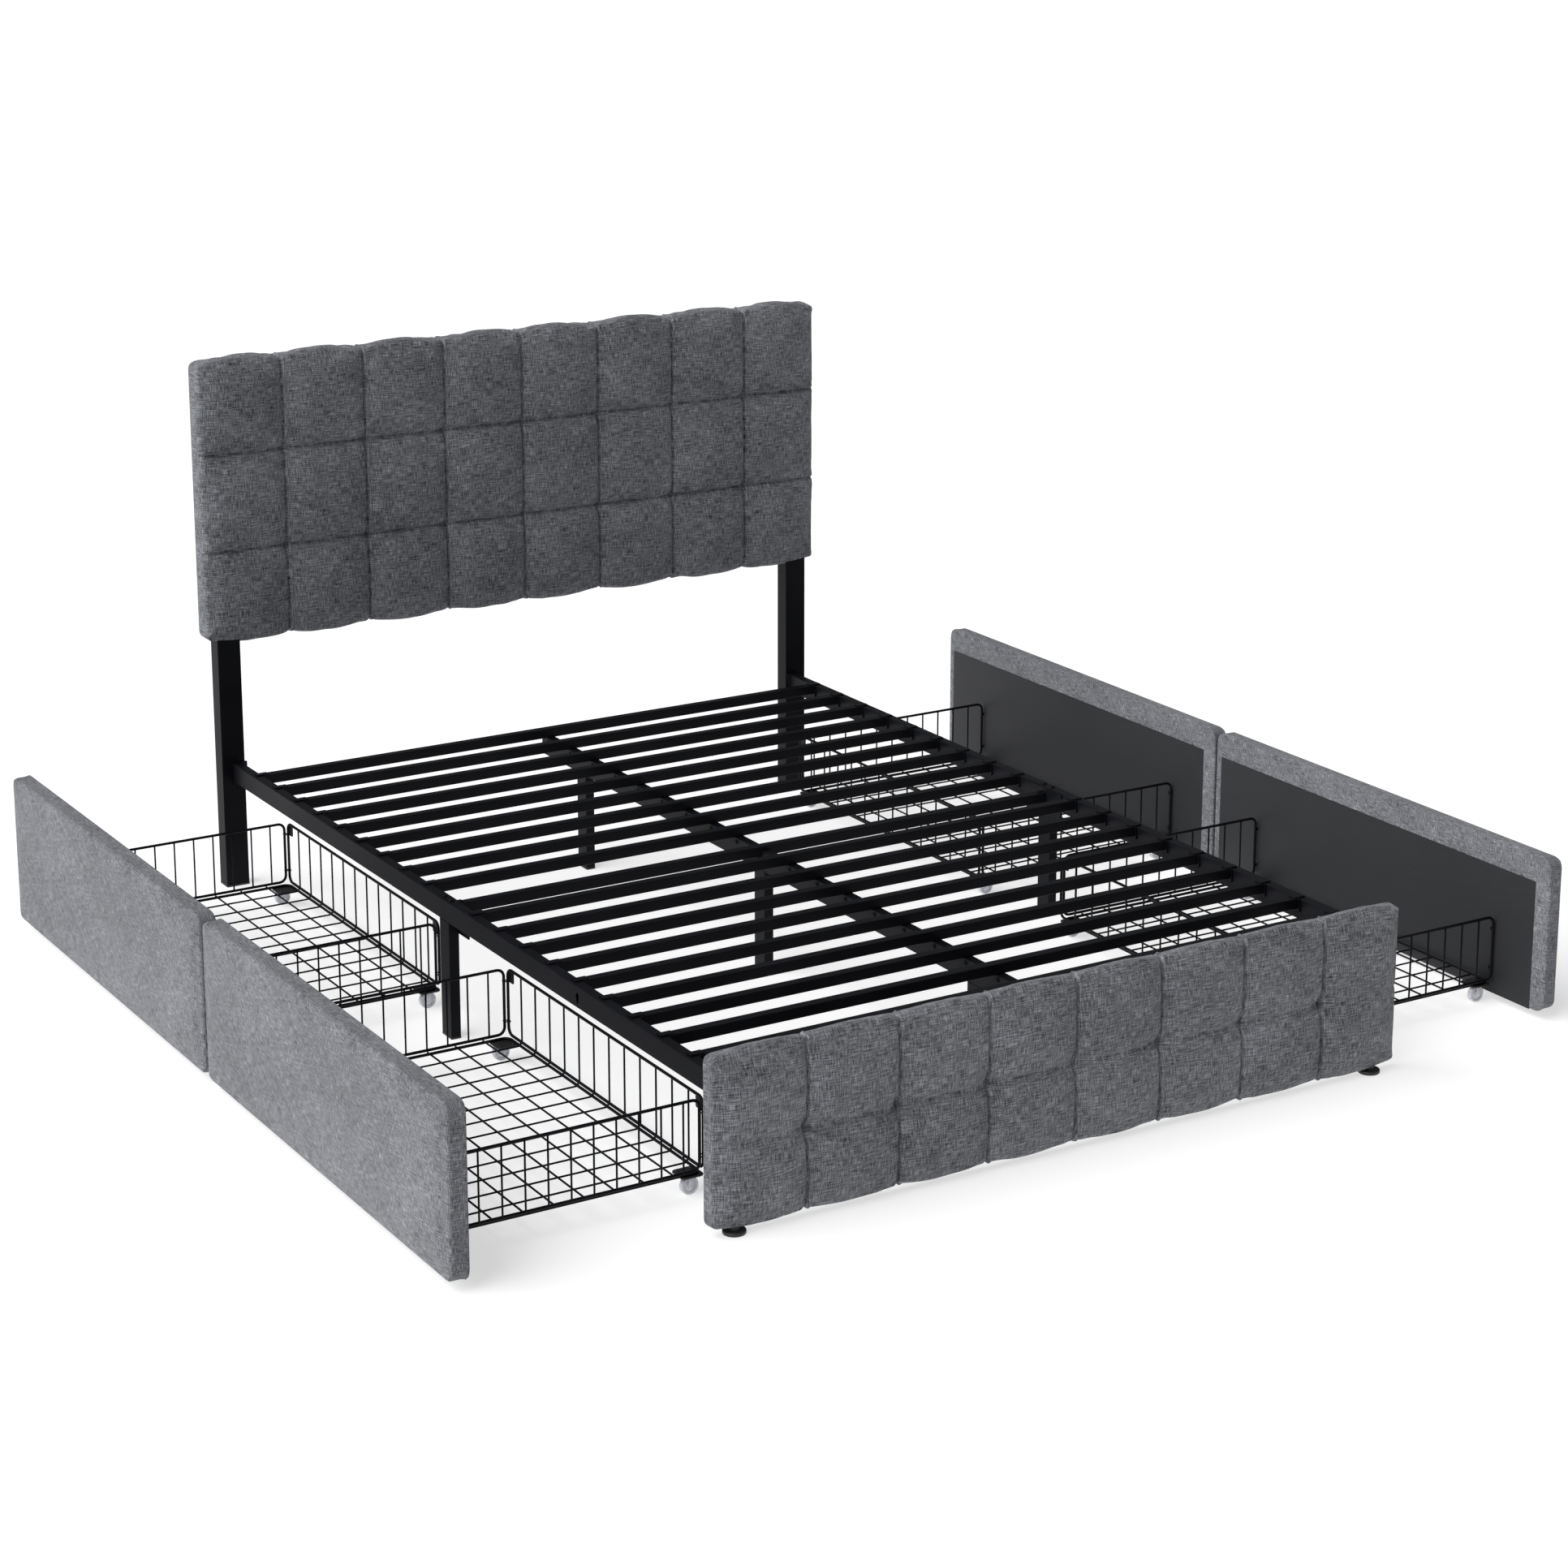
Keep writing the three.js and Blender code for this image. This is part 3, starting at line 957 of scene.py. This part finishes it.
def bow_edges(piece, uv, board):
    """Bows the top and bottom out between the seams, and pulls them in at the seams."""
    half_x, half_z = board.flat
    stops = [-half_x, *board.seams, half_x]
    bow = np.zeros(len(uv))
    for low, high in zip(stops, stops[1:]):
        t = np.clip((uv[:, 0] - low) / (high - low), 0, 1)
        bow = np.maximum(bow, np.sin(math.pi * t) ** 0.8)
    places = read(piece)
    near = rising(np.abs(places[:, 2]), half_z - 0.06, half_z + board.edge)
    arch = np.sin(math.pi * np.clip(0.2 + 0.8 * places[:, 1] / board.depth, 0, 1))
    sink = np.where(places[:, 2] > 0, board.sink_top, board.sink_bottom)
    places[:, 2] += np.sign(places[:, 2]) * (board.scallop * bow * arch - sink) * near
    write(piece, places)


def sew(piece, board):
    """Draws the seams and tucks in, with a small welt beside each upright seam."""
    uv = cloth_places(piece)
    half_x = board.flat[0]
    normals = np.empty(len(uv) * 3, np.float32)
    piece.data.vertex_normals.foreach_get("vector", normals)
    normals = normals.reshape(-1, 3)
    sideways = np.abs(uv[:, 0]) - half_x
    drop = np.zeros(len(uv))
    for seam in board.seams:
        away = uv[:, 0] - seam
        drop += board.groove * np.exp(-((away / board.groove_width) ** 2))
        ridge = (away - board.groove_width * 1.9) / (board.groove_width * 0.8)
        drop -= board.welt * np.exp(-(ridge**2))
    fade = 1 - rising(sideways, 0.0, 0.02)
    for tuck in board.tucks:
        away = uv[:, 1] - tuck
        drop += board.tuck_groove * np.exp(-((away / board.tuck_width) ** 2)) * fade
    drop *= 1 - rising(normals[:, 1], 0.2, 0.7)
    write(piece, read(piece) - normals * drop[:, None])


# ---------------------------------------------------------------- operators


def upright_place(x, y, z, turn=0.0):
    return Matrix.Translation((x, y, z)) @ Matrix.Rotation(turn, 4, "Z")


def ride(piece, body, slot_name, *nodes):
    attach(piece, body)
    if nodes:
        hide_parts(*nodes)
    return piece


class BED_OT_stage(bpy.types.Operator):
    """Lays the floor and sets up the light and the camera"""

    bl_idname = "bed.stage"
    bl_label = "Stage"

    def execute(self, context):
        look = settings("bed_stage")
        select_only()
        bpy.ops.mesh.primitive_plane_add(size=look.floor_size)
        floor = named("floor")
        finish = Finish("floor_paper")
        cloud = finish.noise(finish.place(), 2)
        tint = Vector(look.floor_colour)
        finish.link(finish.ramp(cloud, [(0.3, tint * 0.995), (0.7, tint)]), "Base Color")
        finish.set(Roughness=0.95, Specular_IOR_Level=0.0)
        finish.set(Emission_Color=(1, 1, 1, 1), Emission_Strength=FLOOR_GLOW)
        paint(floor, finish.material)

        world = bpy.data.worlds.new("even_light")
        world.use_nodes = True
        world.node_tree.nodes["Background"].inputs["Color"].default_value = (0.97, 0.98, 1, 1)
        world.node_tree.nodes["Background"].inputs["Strength"].default_value = look.sky
        context.scene.world = world
        bpy.ops.object.light_add(type="SUN", location=(-4, -1, 4))
        key = bpy.context.object
        key.name = "key_light"
        key.data.energy = look.key
        key.data.angle = KEY_SPREAD
        key.rotation_euler = Vector(KEY_WAY).to_track_quat("-Z", "Y").to_euler()

        bpy.ops.object.camera_add(location=look.camera_place, rotation=look.camera_turn)
        camera = bpy.context.object
        camera.name = "camera"
        camera.data.lens = look.lens
        camera.data.sensor_width = SENSOR_WIDTH
        camera.data.shift_y = CAMERA_SHIFT
        camera.data.clip_end = 200
        context.scene.camera = camera
        context.scene.view_settings.view_transform = "Standard"
        return {"FINISHED"}


def dress_board(node, board, margin, corner, proud, edge):
    """Covers a board's face, and closes its back with thin cloth inside a margin."""
    low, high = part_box(node)
    middle = (low + high) / 2
    cover = padded_board(f"{node}_cover", board)
    cover.data.transform(upright_place(0, low.y, middle.z))
    paint(cover, board_linen())
    ride(cover, "bed_frame", "fabric", node)
    back = plate(
        f"{node}_dust_cloth",
        (low.x + margin, high.y - 0.0006, low.z + margin),
        (high.x - margin, high.y + proud, high.z - margin),
        corner,
        edge,
    )
    paint(back, made(dust_cloth))
    ride(back, "bed_frame", "fabric")


class BED_OT_headboard(bpy.types.Operator):
    """Makes the headboard's tufted cover and the cloth on its back"""

    bl_idname = "bed.headboard"
    bl_label = "Headboard"

    def execute(self, context):
        low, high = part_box("headboard")
        size = high - low
        middle = (low + high) / 2
        column = size.x / COLUMNS
        board = Board(
            size.x,
            size.z,
            size.y,
            0.018,
            seams=[column * (i - COLUMNS / 2) for i in range(1, COLUMNS)],
            tucks=[tuck - middle.z for tuck in HEADBOARD_TUCKS],
            columns=22,
            rows=24,
            edge=0.008,
            set_back=0.007,
            face_limit=0.012,
            side_limit=0.003,
            slack=0.03,
            pull=0.006,
            row_crown=0.003,
            cell_crown=0.006,
            scallop=0.010,
            sink_top=0.010,
            sink_bottom=0.002,
            groove=0.0040,
            groove_width=0.0032,
            welt=0.0020,
            tuck_groove=0.0042,
            tuck_width=0.0036,
        )
        dress_board("headboard", board, margin=0.028, corner=0.014, proud=0.0010, edge=0.0006)
        return {"FINISHED"}


class BED_OT_footboard(bpy.types.Operator):
    """Makes the footboard's cover and the cloth on its back"""

    bl_idname = "bed.footboard"
    bl_label = "Footboard"

    def execute(self, context):
        low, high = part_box("footboard")
        size = high - low
        middle = (low + high) / 2
        column = size.x / COLUMNS
        board = Board(
            size.x,
            size.z,
            size.y,
            0.015,
            seams=[column * (i - COLUMNS / 2) for i in range(1, COLUMNS)],
            tucks=[FOOTBOARD_TUCK - middle.z],
            tucks_held=False,
            columns=22,
            rows=20,
            edge=0.007,
            back_edge=0.003,
            set_back=0.002,
            face_limit=0.010,
            side_limit=0.003,
            slack=0.02,
            pull=0.008,
            pull_reach=0.017,
            row_crown=0.005,
            cell_crown=0.002,
            scallop=0.010,
            sink_top=0.006,
            sink_bottom=0.001,
            groove=0.0045,
            groove_width=0.0030,
            welt=0.0030,
            tuck_groove=0.0022,
            tuck_width=0.006,
        )
        dress_board("footboard", board, margin=0.022, corner=0.012, proud=0.0002, edge=0.0003)
        return {"FINISHED"}


class BED_OT_drawer_fronts(bpy.types.Operator):
    """Makes the four padded drawer fronts and their backing boards"""

    bl_idname = "bed.drawer_fronts"
    bl_label = "Drawer fronts"

    def execute(self, context):
        low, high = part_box("drawer_front_right_head")
        size = high - low
        board = Board(
            size.y,
            size.z,
            size.x,
            0.026,
            columns=96,
            rows=40,
            edge=0.0075,
            set_back=0.0025,
            pull=0,
            row_crown=0.0,
            face_limit=0.0045,
            side_limit=0.002,
            slack=0.004,
        )
        master = padded_board("drawer_cover", board)
        backing = self.backing(size)
        for side, end in DRAWERS:
            low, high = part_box(f"drawer_front_{side}_{end}")
            middle = (low + high) / 2
            outer = high.x if side == "right" else low.x
            turn = QUARTER if side == "right" else -QUARTER
            place = upright_place(outer, middle.y, middle.z, turn)
            cover = copy(master, f"drawer_cover_{side}_{end}", place)
            paint(cover, drawer_linen())
            ride(cover, f"drawer_{side}_{end}", "fabric", f"drawer_front_{side}_{end}")
            board_piece = copy(backing, f"drawer_backing_{side}_{end}", place)
            paint(board_piece, made(backing_board))
            ride(board_piece, f"drawer_{side}_{end}", "fabric")
        for piece in (master, backing):
            bpy.data.objects.remove(piece)
        return {"FINISHED"}

    def backing(self, size):
        """The board on the inner face; its margins differ at the two ends."""
        return plate(
            "drawer_backing",
            (-size.y / 2 + 0.037, size.x - 0.0008, -size.z / 2 - 0.0005),
            (size.y / 2 - 0.017, size.x + 0.0002, size.z / 2 - 0.0525),
            0.0015,
            0.0003,
            2,
        )


class BED_OT_baskets(bpy.types.Operator):
    """Makes the four wire baskets: floor, back and two sides, tied together"""

    bl_idname = "bed.baskets"
    bl_label = "Wire baskets"

    reach = 0.500
    half_width = 0.362
    floor_z = 0.0376
    side_bottom = 0.0436
    top = 0.1692
    bend = 0.014

    def execute(self, context):
        look = settings("bed_steel")
        self.rim, self.fine = look.rim_wire, look.fine_wire
        panels = {
            "basket_floor": self.floor(),
            "basket_back": self.back(),
            "basket_sides": self.sides(),
            "basket_fittings": self.fittings(),
            "caster_mounts": self.mounts(),
        }
        for side, end in DRAWERS:
            low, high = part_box(f"drawer_basket_{side}_{end}")
            middle = (low.y + high.y) / 2
            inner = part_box(f"drawer_front_{side}_{end}")
            face = inner[0].x if side == "right" else inner[1].x
            face += -0.0003 if side == "right" else 0.0003
            place = upright_place(face, middle, 0, 0 if side == "right" else math.pi)
            body = f"drawer_{side}_{end}"
            for name, panel in panels.items():
                piece = copy(panel, f"{name}_{side}_{end}", place)
                paint(piece, *([wire_paint()] if name != "caster_mounts" else [black_plastic()]))
                nodes = [f"drawer_basket_{side}_{end}"] if name == "basket_floor" else []
                ride(piece, body, "paint", *nodes)
        for panel in panels.values():
            bpy.data.objects.remove(panel)
        return {"FINISHED"}

    def upright_places(self):
        pitch = 2 * self.half_width / 13
        return [-self.half_width + pitch * i for i in range(1, 13)]

    def floor(self):
        length, width = self.reach - 0.012, 2 * self.half_width - 0.018
        rim = wire_loop(length, width, self.bend, self.rim)
        rim.data.transform(Matrix.Translation((-self.reach / 2, 0, self.floor_z)))
        inner, outer = -self.reach + 0.004, -0.004
        low = self.floor_z - self.rim / 2 + self.fine / 2
        short = self.hooked((inner, 0, low), outer, 0.006)
        short_wires = [
            copy(short, "short", Matrix.Translation((0, y, 0))) for y in self.upright_places()
        ]
        end = width / 2 + 0.0045
        high = low + self.fine * 0.9
        long = wire((-self.reach, -end, high), (-self.reach, end, high), self.fine)
        long_wires = [
            copy(long, "long", Matrix.Translation((self.reach * i / 9, 0, 0))) for i in range(1, 9)
        ]
        for part in (short, long):
            bpy.data.objects.remove(part)
        return smooth(join("basket_floor", [rim, *short_wires, *long_wires]), 50)

    def hooked(self, start, end_x, bend):
        """A floor wire that turns up at the back panel."""
        x, y, z = start
        select_only()
        bpy.ops.mesh.primitive_circle_add(
            vertices=8,
            radius=self.fine / 2,
            fill_type="NGON",
            location=(end_x, y, z),
            rotation=(0, QUARTER, 0),
        )
        piece = named("short")
        edit(piece)
        bpy.ops.mesh.select_mode(type="FACE")
        bpy.ops.mesh.select_all(action="SELECT")
        step = {"value": (x + bend - end_x, 0, 0)}
        bpy.ops.mesh.extrude_region_move(TRANSFORM_OT_translate=step)
        bpy.ops.mesh.spin(
            steps=5, angle=-QUARTER, center=(x + bend, y, z + bend), axis=(0, 1, 0)
        )
        bpy.ops.mesh.extrude_region_move(TRANSFORM_OT_translate={"value": (0, 0, 0.003)})
        close()
        finish_normals(piece)
        return piece

    def back(self):
        x = -self.reach + self.rim / 2
        width = 2 * self.half_width - 0.010
        height = self.top - self.side_bottom
        rim = wire_loop(width, height, self.bend, self.rim)
        # The loop's X runs along Y and its Y runs up.
        stand = Matrix.Rotation(QUARTER, 4, "Z") @ Matrix.Rotation(QUARTER, 4, "X")
        middle = (x, 0, (self.top + self.side_bottom) / 2)
        rim.data.transform(Matrix.Translation(middle) @ stand)
        upright = wire((x, 0, self.side_bottom - 0.004), (x, 0, self.top + 0.001), self.fine)
        uprights = [
            copy(upright, "upright", Matrix.Translation((-0.0012, y, 0)))
            for y in self.upright_places()
        ]
        bpy.data.objects.remove(upright)
        return smooth(join("basket_back", [rim, *uprights]), 50)

    def sides(self):
        inner, outer = -self.reach + 0.0105, -0.004
        length = outer - inner
        height = self.top - self.side_bottom
        y = self.half_width - self.rim / 2 - 0.001
        rim = wire_loop(length, height, self.bend, self.rim)
        stand = Matrix.Rotation(QUARTER, 4, "X")
        middle = ((inner + outer) / 2, y, (self.top + self.side_bottom) / 2)
        rim.data.transform(Matrix.Translation(middle) @ stand)
        wires = []
        for i in range(1, 12):
            x = -self.reach + self.reach * i / 12
            foot = (x, y + 0.0012, self.side_bottom - 0.001)
            head = (x, y + 0.0012, self.top + 0.001)
            wires.append(wire(foot, head, self.fine))
        near = join("near", [rim, *wires])
        mirror = Matrix.Diagonal((1, -1, 1, 1))
        far = copy(near, "far", mirror)
        finish_normals(far)
        return smooth(join("basket_sides", [near, far]), 50)

    def fittings(self):
        """Ties between the panels, and the two tabs at the top corners of the back."""
        parts = []
        y = self.half_width - self.rim / 2 - 0.001
        x = -self.reach + self.rim / 2
        for side in (-1, 1):
            for z in (0.068, 0.146):
                place = (x + 0.0035, side * (y - 0.001), z)
                apart = (0.707, side * 0.707, 0)
                parts.append(tie(place, (0, 0, 1), apart, 0.0070, 0.0040, 0.0014))
            for z in (self.side_bottom + 0.024, self.top - 0.024):
                parts.append(
                    plate(
                        "hook",
                        (-0.0075, side * (y - 0.004), z - 0.0035),
                        (-0.0002, side * (y - 0.0022), z + 0.0035),
                        0.001,
                        0.0005,
                        3,
                    )
                )
            low_y, high_y = sorted(side * (self.half_width - inset) for inset in (0.029, 0.008))
            parts.append(
                plate(
                    "tab",
                    (x - 0.0010, low_y, self.top - 0.024),
                    (x + 0.0008, high_y, self.top),
                    0.004,
                    0.0005,
                    3,
                )
            )
        return smooth(join("basket_fittings", parts), 50)

    def mounts(self):
        """Rounded plates under the floor's corners, each with its screws."""
        parts = []
        top = self.floor_z - self.rim / 2 + 0.0004
        for x in (-self.reach + 0.0225, -0.0235):
            for side in (-1, 1):
                y = side * (self.half_width - 0.023)
                parts.append(
                    plate(
                        "mount",
                        (x - 0.0215, y - 0.0215, top - 0.003),
                        (x + 0.0215, y + 0.0215, top),
                        0.009,
                        0.0008,
                    )
                )
                for across in (-0.013, 0.013):
                    place = (x + across, y - side * 0.013, top)
                    parts.append(bolt("screw", place, (0, 0, 1), 0.0032, 0.0018))
        return smooth(join("caster_mounts", parts), 40)


class BED_OT_casters(bpy.types.Operator):
    """Makes the sixteen caster wheels and the housings that hold them"""

    bl_idname = "bed.casters"
    bl_label = "Casters"

    def execute(self, context):
        wheel = self.wheel()
        housing = self.housing()
        for node in sorted(frame["nodes"]):
            if not node.startswith("wheel_"):
                continue
            low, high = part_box(node)
            middle = (low + high) / 2
            body = body_of(frame["nodes"][node])[0]
            piece = copy(wheel, f"caster_{node}", Matrix.Translation(middle))
            paint(piece, wheel_plastic())
            ride(piece, body, "wheel_plastic", node)
            side, end = node.split("_")[1:3]
            piece = copy(housing, f"caster_housing_{node[6:]}", Matrix.Translation(middle))
            paint(piece, wheel_plastic())
            ride(piece, f"drawer_{side}_{end}", "wheel_plastic")
        for part in (wheel, housing):
            bpy.data.objects.remove(part)
        return {"FINISHED"}

    def wheel(self):
        """A turned disc: hub, dished web and rounded tread, spun round Y."""
        outline = [
            (0.0031, 0.0060), (0.0062, 0.0060), (0.0068, 0.0045), (0.0108, 0.0040),
            (0.0116, 0.0056), (0.0145, 0.0060), (0.0157, 0.0050), (0.0160, 0.0025),
        ]
        outline += [(r, -w) for r, w in reversed(outline)] + outline[:1]
        select_only()
        bpy.ops.mesh.primitive_circle_add(vertices=len(outline) - 1, radius=0.01)
        piece = named("wheel")
        places = read(piece)
        for i, (r, w) in enumerate(outline[:-1]):
            places[i] = (r, w, 0)
        write(piece, places)
        edit(piece)
        bpy.ops.mesh.select_mode(type="EDGE")
        bpy.ops.mesh.select_all(action="SELECT")
        bpy.ops.mesh.spin(steps=36, angle=2 * math.pi, center=(0, 0, 0), axis=(0, 1, 0))
        close()
        finish_normals(piece)
        return smooth(piece, 40)

    def housing(self):
        """Two rounded cheeks on an axle, with the bridge over the wheel."""
        parts = []
        for side in (-1, 1):
            y0, y1 = sorted((side * 0.0066, side * 0.0084))
            low, high = (-0.0045, y0, -0.0045), (0.0045, y1, 0.0168)
            parts.append(plate("cheek", low, high, 0.004, 0.0005))
        low, high = (-0.007, -0.0084, 0.0163), (0.007, 0.0084, 0.0182)
        parts.append(plate("bridge", low, high, 0.002, 0.0004))
        parts.append(wire((0, -0.0092, 0), (0, 0.0092, 0), 0.005, 16))
        return smooth(join("caster_housing", parts), 40)


class BED_OT_tubes(bpy.types.Operator):
    """Rounds the corners of the steel tubes, from the frame's own pieces"""

    bl_idname = "bed.tubes"
    bl_label = "Steel tubes"

    def execute(self, context):
        radius = settings("bed_steel").tube_corner
        shared = {}
        for node, source in sorted(frame["nodes"].items()):
            if not node.startswith(("head_post", "side_", "centre_", "middle_bar", "cross_bar")):
                continue
            low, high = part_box(node)
            if node.startswith("cross_bar") and "cross_bar" in shared:
                first, first_low = shared["cross_bar"]
                piece = copy(first, f"tube_{node}", Matrix.Translation(low - first_low))
            else:
                piece = self.rounded(source, f"tube_{node}", low, high, radius)
                if node.startswith("cross_bar"):
                    shared["cross_bar"] = (piece, low)
            if node == "side_rail_left_foot":
                drill(piece, (low.x, RAIL_HOLE_Y, KEYHOLE_Z), 0.0052, 0.0028, 0.012)
            if node == "side_rail_right_foot":
                drill(piece, (low.x, RAIL_HOLE_Y, ROUND_HOLE_Z), 0.0065, 0.0065, 0.0)
            paint(piece, steel_paint())
            ride(piece, "bed_frame", "paint", node)
        return {"FINISHED"}

    def rounded(self, source, name, low, high, radius):
        size = high - low
        axis = max(range(3), key=lambda i: size[i])
        piece = copy(source, name)
        edit(piece)
        bpy.ops.mesh.select_all(action="SELECT")
        bpy.ops.mesh.remove_doubles(threshold=1e-5)
        bpy.ops.mesh.dissolve_limited(angle_limit=0.01)
        pick(
            piece,
            "EDGE",
            lambda part: len(part.link_faces) == 2
            and along(part, axis)
            and part.calc_length() > 0.012
            and part.is_convex
            and part.calc_face_angle(0) > 1.2,
        )
        bpy.ops.mesh.bevel(offset=radius, segments=3, affect="EDGES")
        close()
        return smooth(piece, 35, weighted=True)


class BED_OT_small_parts(bpy.types.Operator):
    """Gives the glides their finish and adds bolts, plates and plugs"""

    bl_idname = "bed.small_parts"
    bl_label = "Small parts"

    def execute(self, context):
        self.glides()
        for side, sign in SIDES.items():
            self.rail_bolts(side, sign)
            self.bar_plates(side, sign)
        self.centre_screws()
        self.leg_plugs()
        return {"FINISHED"}

    def glides(self):
        """Turned feet: a wide foot, a waist and a neck, in place of the plain discs."""
        for side in SIDES:
            node = f"foot_glide_{side}"
            low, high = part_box(node)
            middle = (low + high) / 2
            radius = (high.x - low.x) / 2
            select_only()
            bpy.ops.mesh.primitive_cylinder_add(
                vertices=40, radius=radius, depth=0.007, location=(middle.x, middle.y, 0.0035)
            )
            piece = named(f"turned_glide_{side}")
            edit(piece)
            pick(piece, "FACE", lambda part: abs(part.normal.z) > 0.9)
            bpy.ops.mesh.bevel(offset=0.0018, segments=3, affect="EDGES")
            pick(piece, "FACE", lambda part: part.normal.z > 0.99)
            bpy.ops.mesh.inset(thickness=radius * 0.42, depth=0.0012)
            bpy.ops.mesh.extrude_region_move(
                TRANSFORM_OT_translate={"value": (0, 0, high.z - 0.0082)}
            )
            close()
            finish_normals(piece)
            paint(smooth(piece), black_plastic())
            ride(piece, "bed_frame", "foot_plastic", node)

    def rail_bolts(self, side, sign):
        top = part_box(f"side_rail_{side}_head")[1].z - 0.002
        middle = sign * RAIL_MIDDLE
        parts = [bolt("bolt", (middle, y, top), (0, 0, 1), 0.0052, 0.0030) for y in (0.016, -0.012)]
        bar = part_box("middle_bar")[1]
        parts.append(bolt("bolt", (sign * 0.652, 0.002, bar.z), (0, 0, 1), 0.0052, 0.0030))
        plate_face = sign * 0.6624
        for y in (-0.046, 0.046):
            parts.append(bolt("bolt", (plate_face, y, 0.236), (-sign, 0, 0), 0.0055, 0.0032))
        piece = paint(smooth(join(f"rail_bolts_{side}", parts)), steel_paint())
        ride(piece, "bed_frame", "paint")

    def bar_plates(self, side, sign):
        """The welded plate at each cross bar's end, against the side rail."""
        face = sign * BAR_PLATE_X
        x0, x1 = sorted((face, face - sign * 0.0030))
        low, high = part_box("cross_bar_head_1")
        middle = (low.y + high.y) / 2
        first = plate(
            "plate", (x0, middle - 0.0125, 0.2425), (x1, middle + 0.0125, 0.2682), 0.002, 0.0004, 3
        )
        # The middle bar, one pitch towards the foot, has no plates.
        steps = [(0, BAR_PITCH * i, 0) for i in (*range(1, 9), *range(-2, -11, -1))]
        piece = join(f"bar_plates_{side}", shifts(first, steps))
        paint(smooth(piece, weighted=True), steel_paint())
        ride(piece, "bed_frame", "paint")

    def centre_screws(self):
        """A screw through the centre rail's side beside every cross bar."""
        first = bolt("screw", (-0.010, 0.088, 0.2405), (-1, 0, 0), 0.0042, 0.0026)
        steps = [(0, BAR_PITCH * i, 0) for i in range(-10, 9) if i not in (-1, 0)]
        piece = paint(smooth(join("centre_screws", shifts(first, steps))), steel_paint())
        ride(piece, "bed_frame", "paint")

    def leg_plugs(self):
        """Moulded plugs in the feet of the posts and legs."""
        for node in sorted(frame["nodes"]):
            if not node.startswith(("head_post", "side_leg", "centre_leg")):
                continue
            low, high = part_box(node)
            middle = (low + high) / 2
            half_x, half_y = (0.025, 0.019) if node.startswith("head_post") else (0.010, 0.020)
            if node.startswith("side_leg"):
                middle.x = math.copysign(RAIL_MIDDLE, middle.x)
            spare = 0.0005
            plug = plate(
                f"plug_{node}",
                (middle.x - half_x - spare, middle.y - half_y - spare, 0),
                (middle.x + half_x + spare, middle.y + half_y + spare, 0.0045),
                0.0025,
                0.0012,
                3,
            )
            paint(plug, black_plastic())
            ride(plug, "bed_frame", "foot_plastic")


OPERATORS = [
    BED_OT_stage,
    BED_OT_tubes,
    BED_OT_headboard,
    BED_OT_footboard,
    BED_OT_drawer_fronts,
    BED_OT_baskets,
    BED_OT_casters,
    BED_OT_small_parts,
]


class BED_PT_panel(bpy.types.Panel):
    """Lists the pieces of the bed"""

    bl_idname = "BED_PT_panel"
    bl_label = "Bed"
    bl_space_type = "VIEW_3D"
    bl_region_type = "UI"
    bl_category = "Bed"

    def draw(self, context):
        for operator in OPERATORS:
            self.layout.operator(operator.bl_idname)
        for name, group in SETTINGS.items():
            box = self.layout.box()
            for key in group.__annotations__:
                box.prop(getattr(context.scene, name), key)


def register():
    for name, group in SETTINGS.items():
        bpy.utils.register_class(group)
        setattr(bpy.types.Scene, name, bpy.props.PointerProperty(type=group))
    for kind in (*OPERATORS, BED_PT_panel):
        bpy.utils.register_class(kind)


def unregister():
    for kind in (BED_PT_panel, *reversed(OPERATORS)):
        bpy.utils.unregister_class(kind)
    for name, group in SETTINGS.items():
        delattr(bpy.types.Scene, name)
        bpy.utils.unregister_class(group)


def main():
    register()
    for operator in OPERATORS:
        group, name = operator.bl_idname.split(".")
        getattr(getattr(bpy.ops, group), name)()


if __name__ == "__main__":
    main()
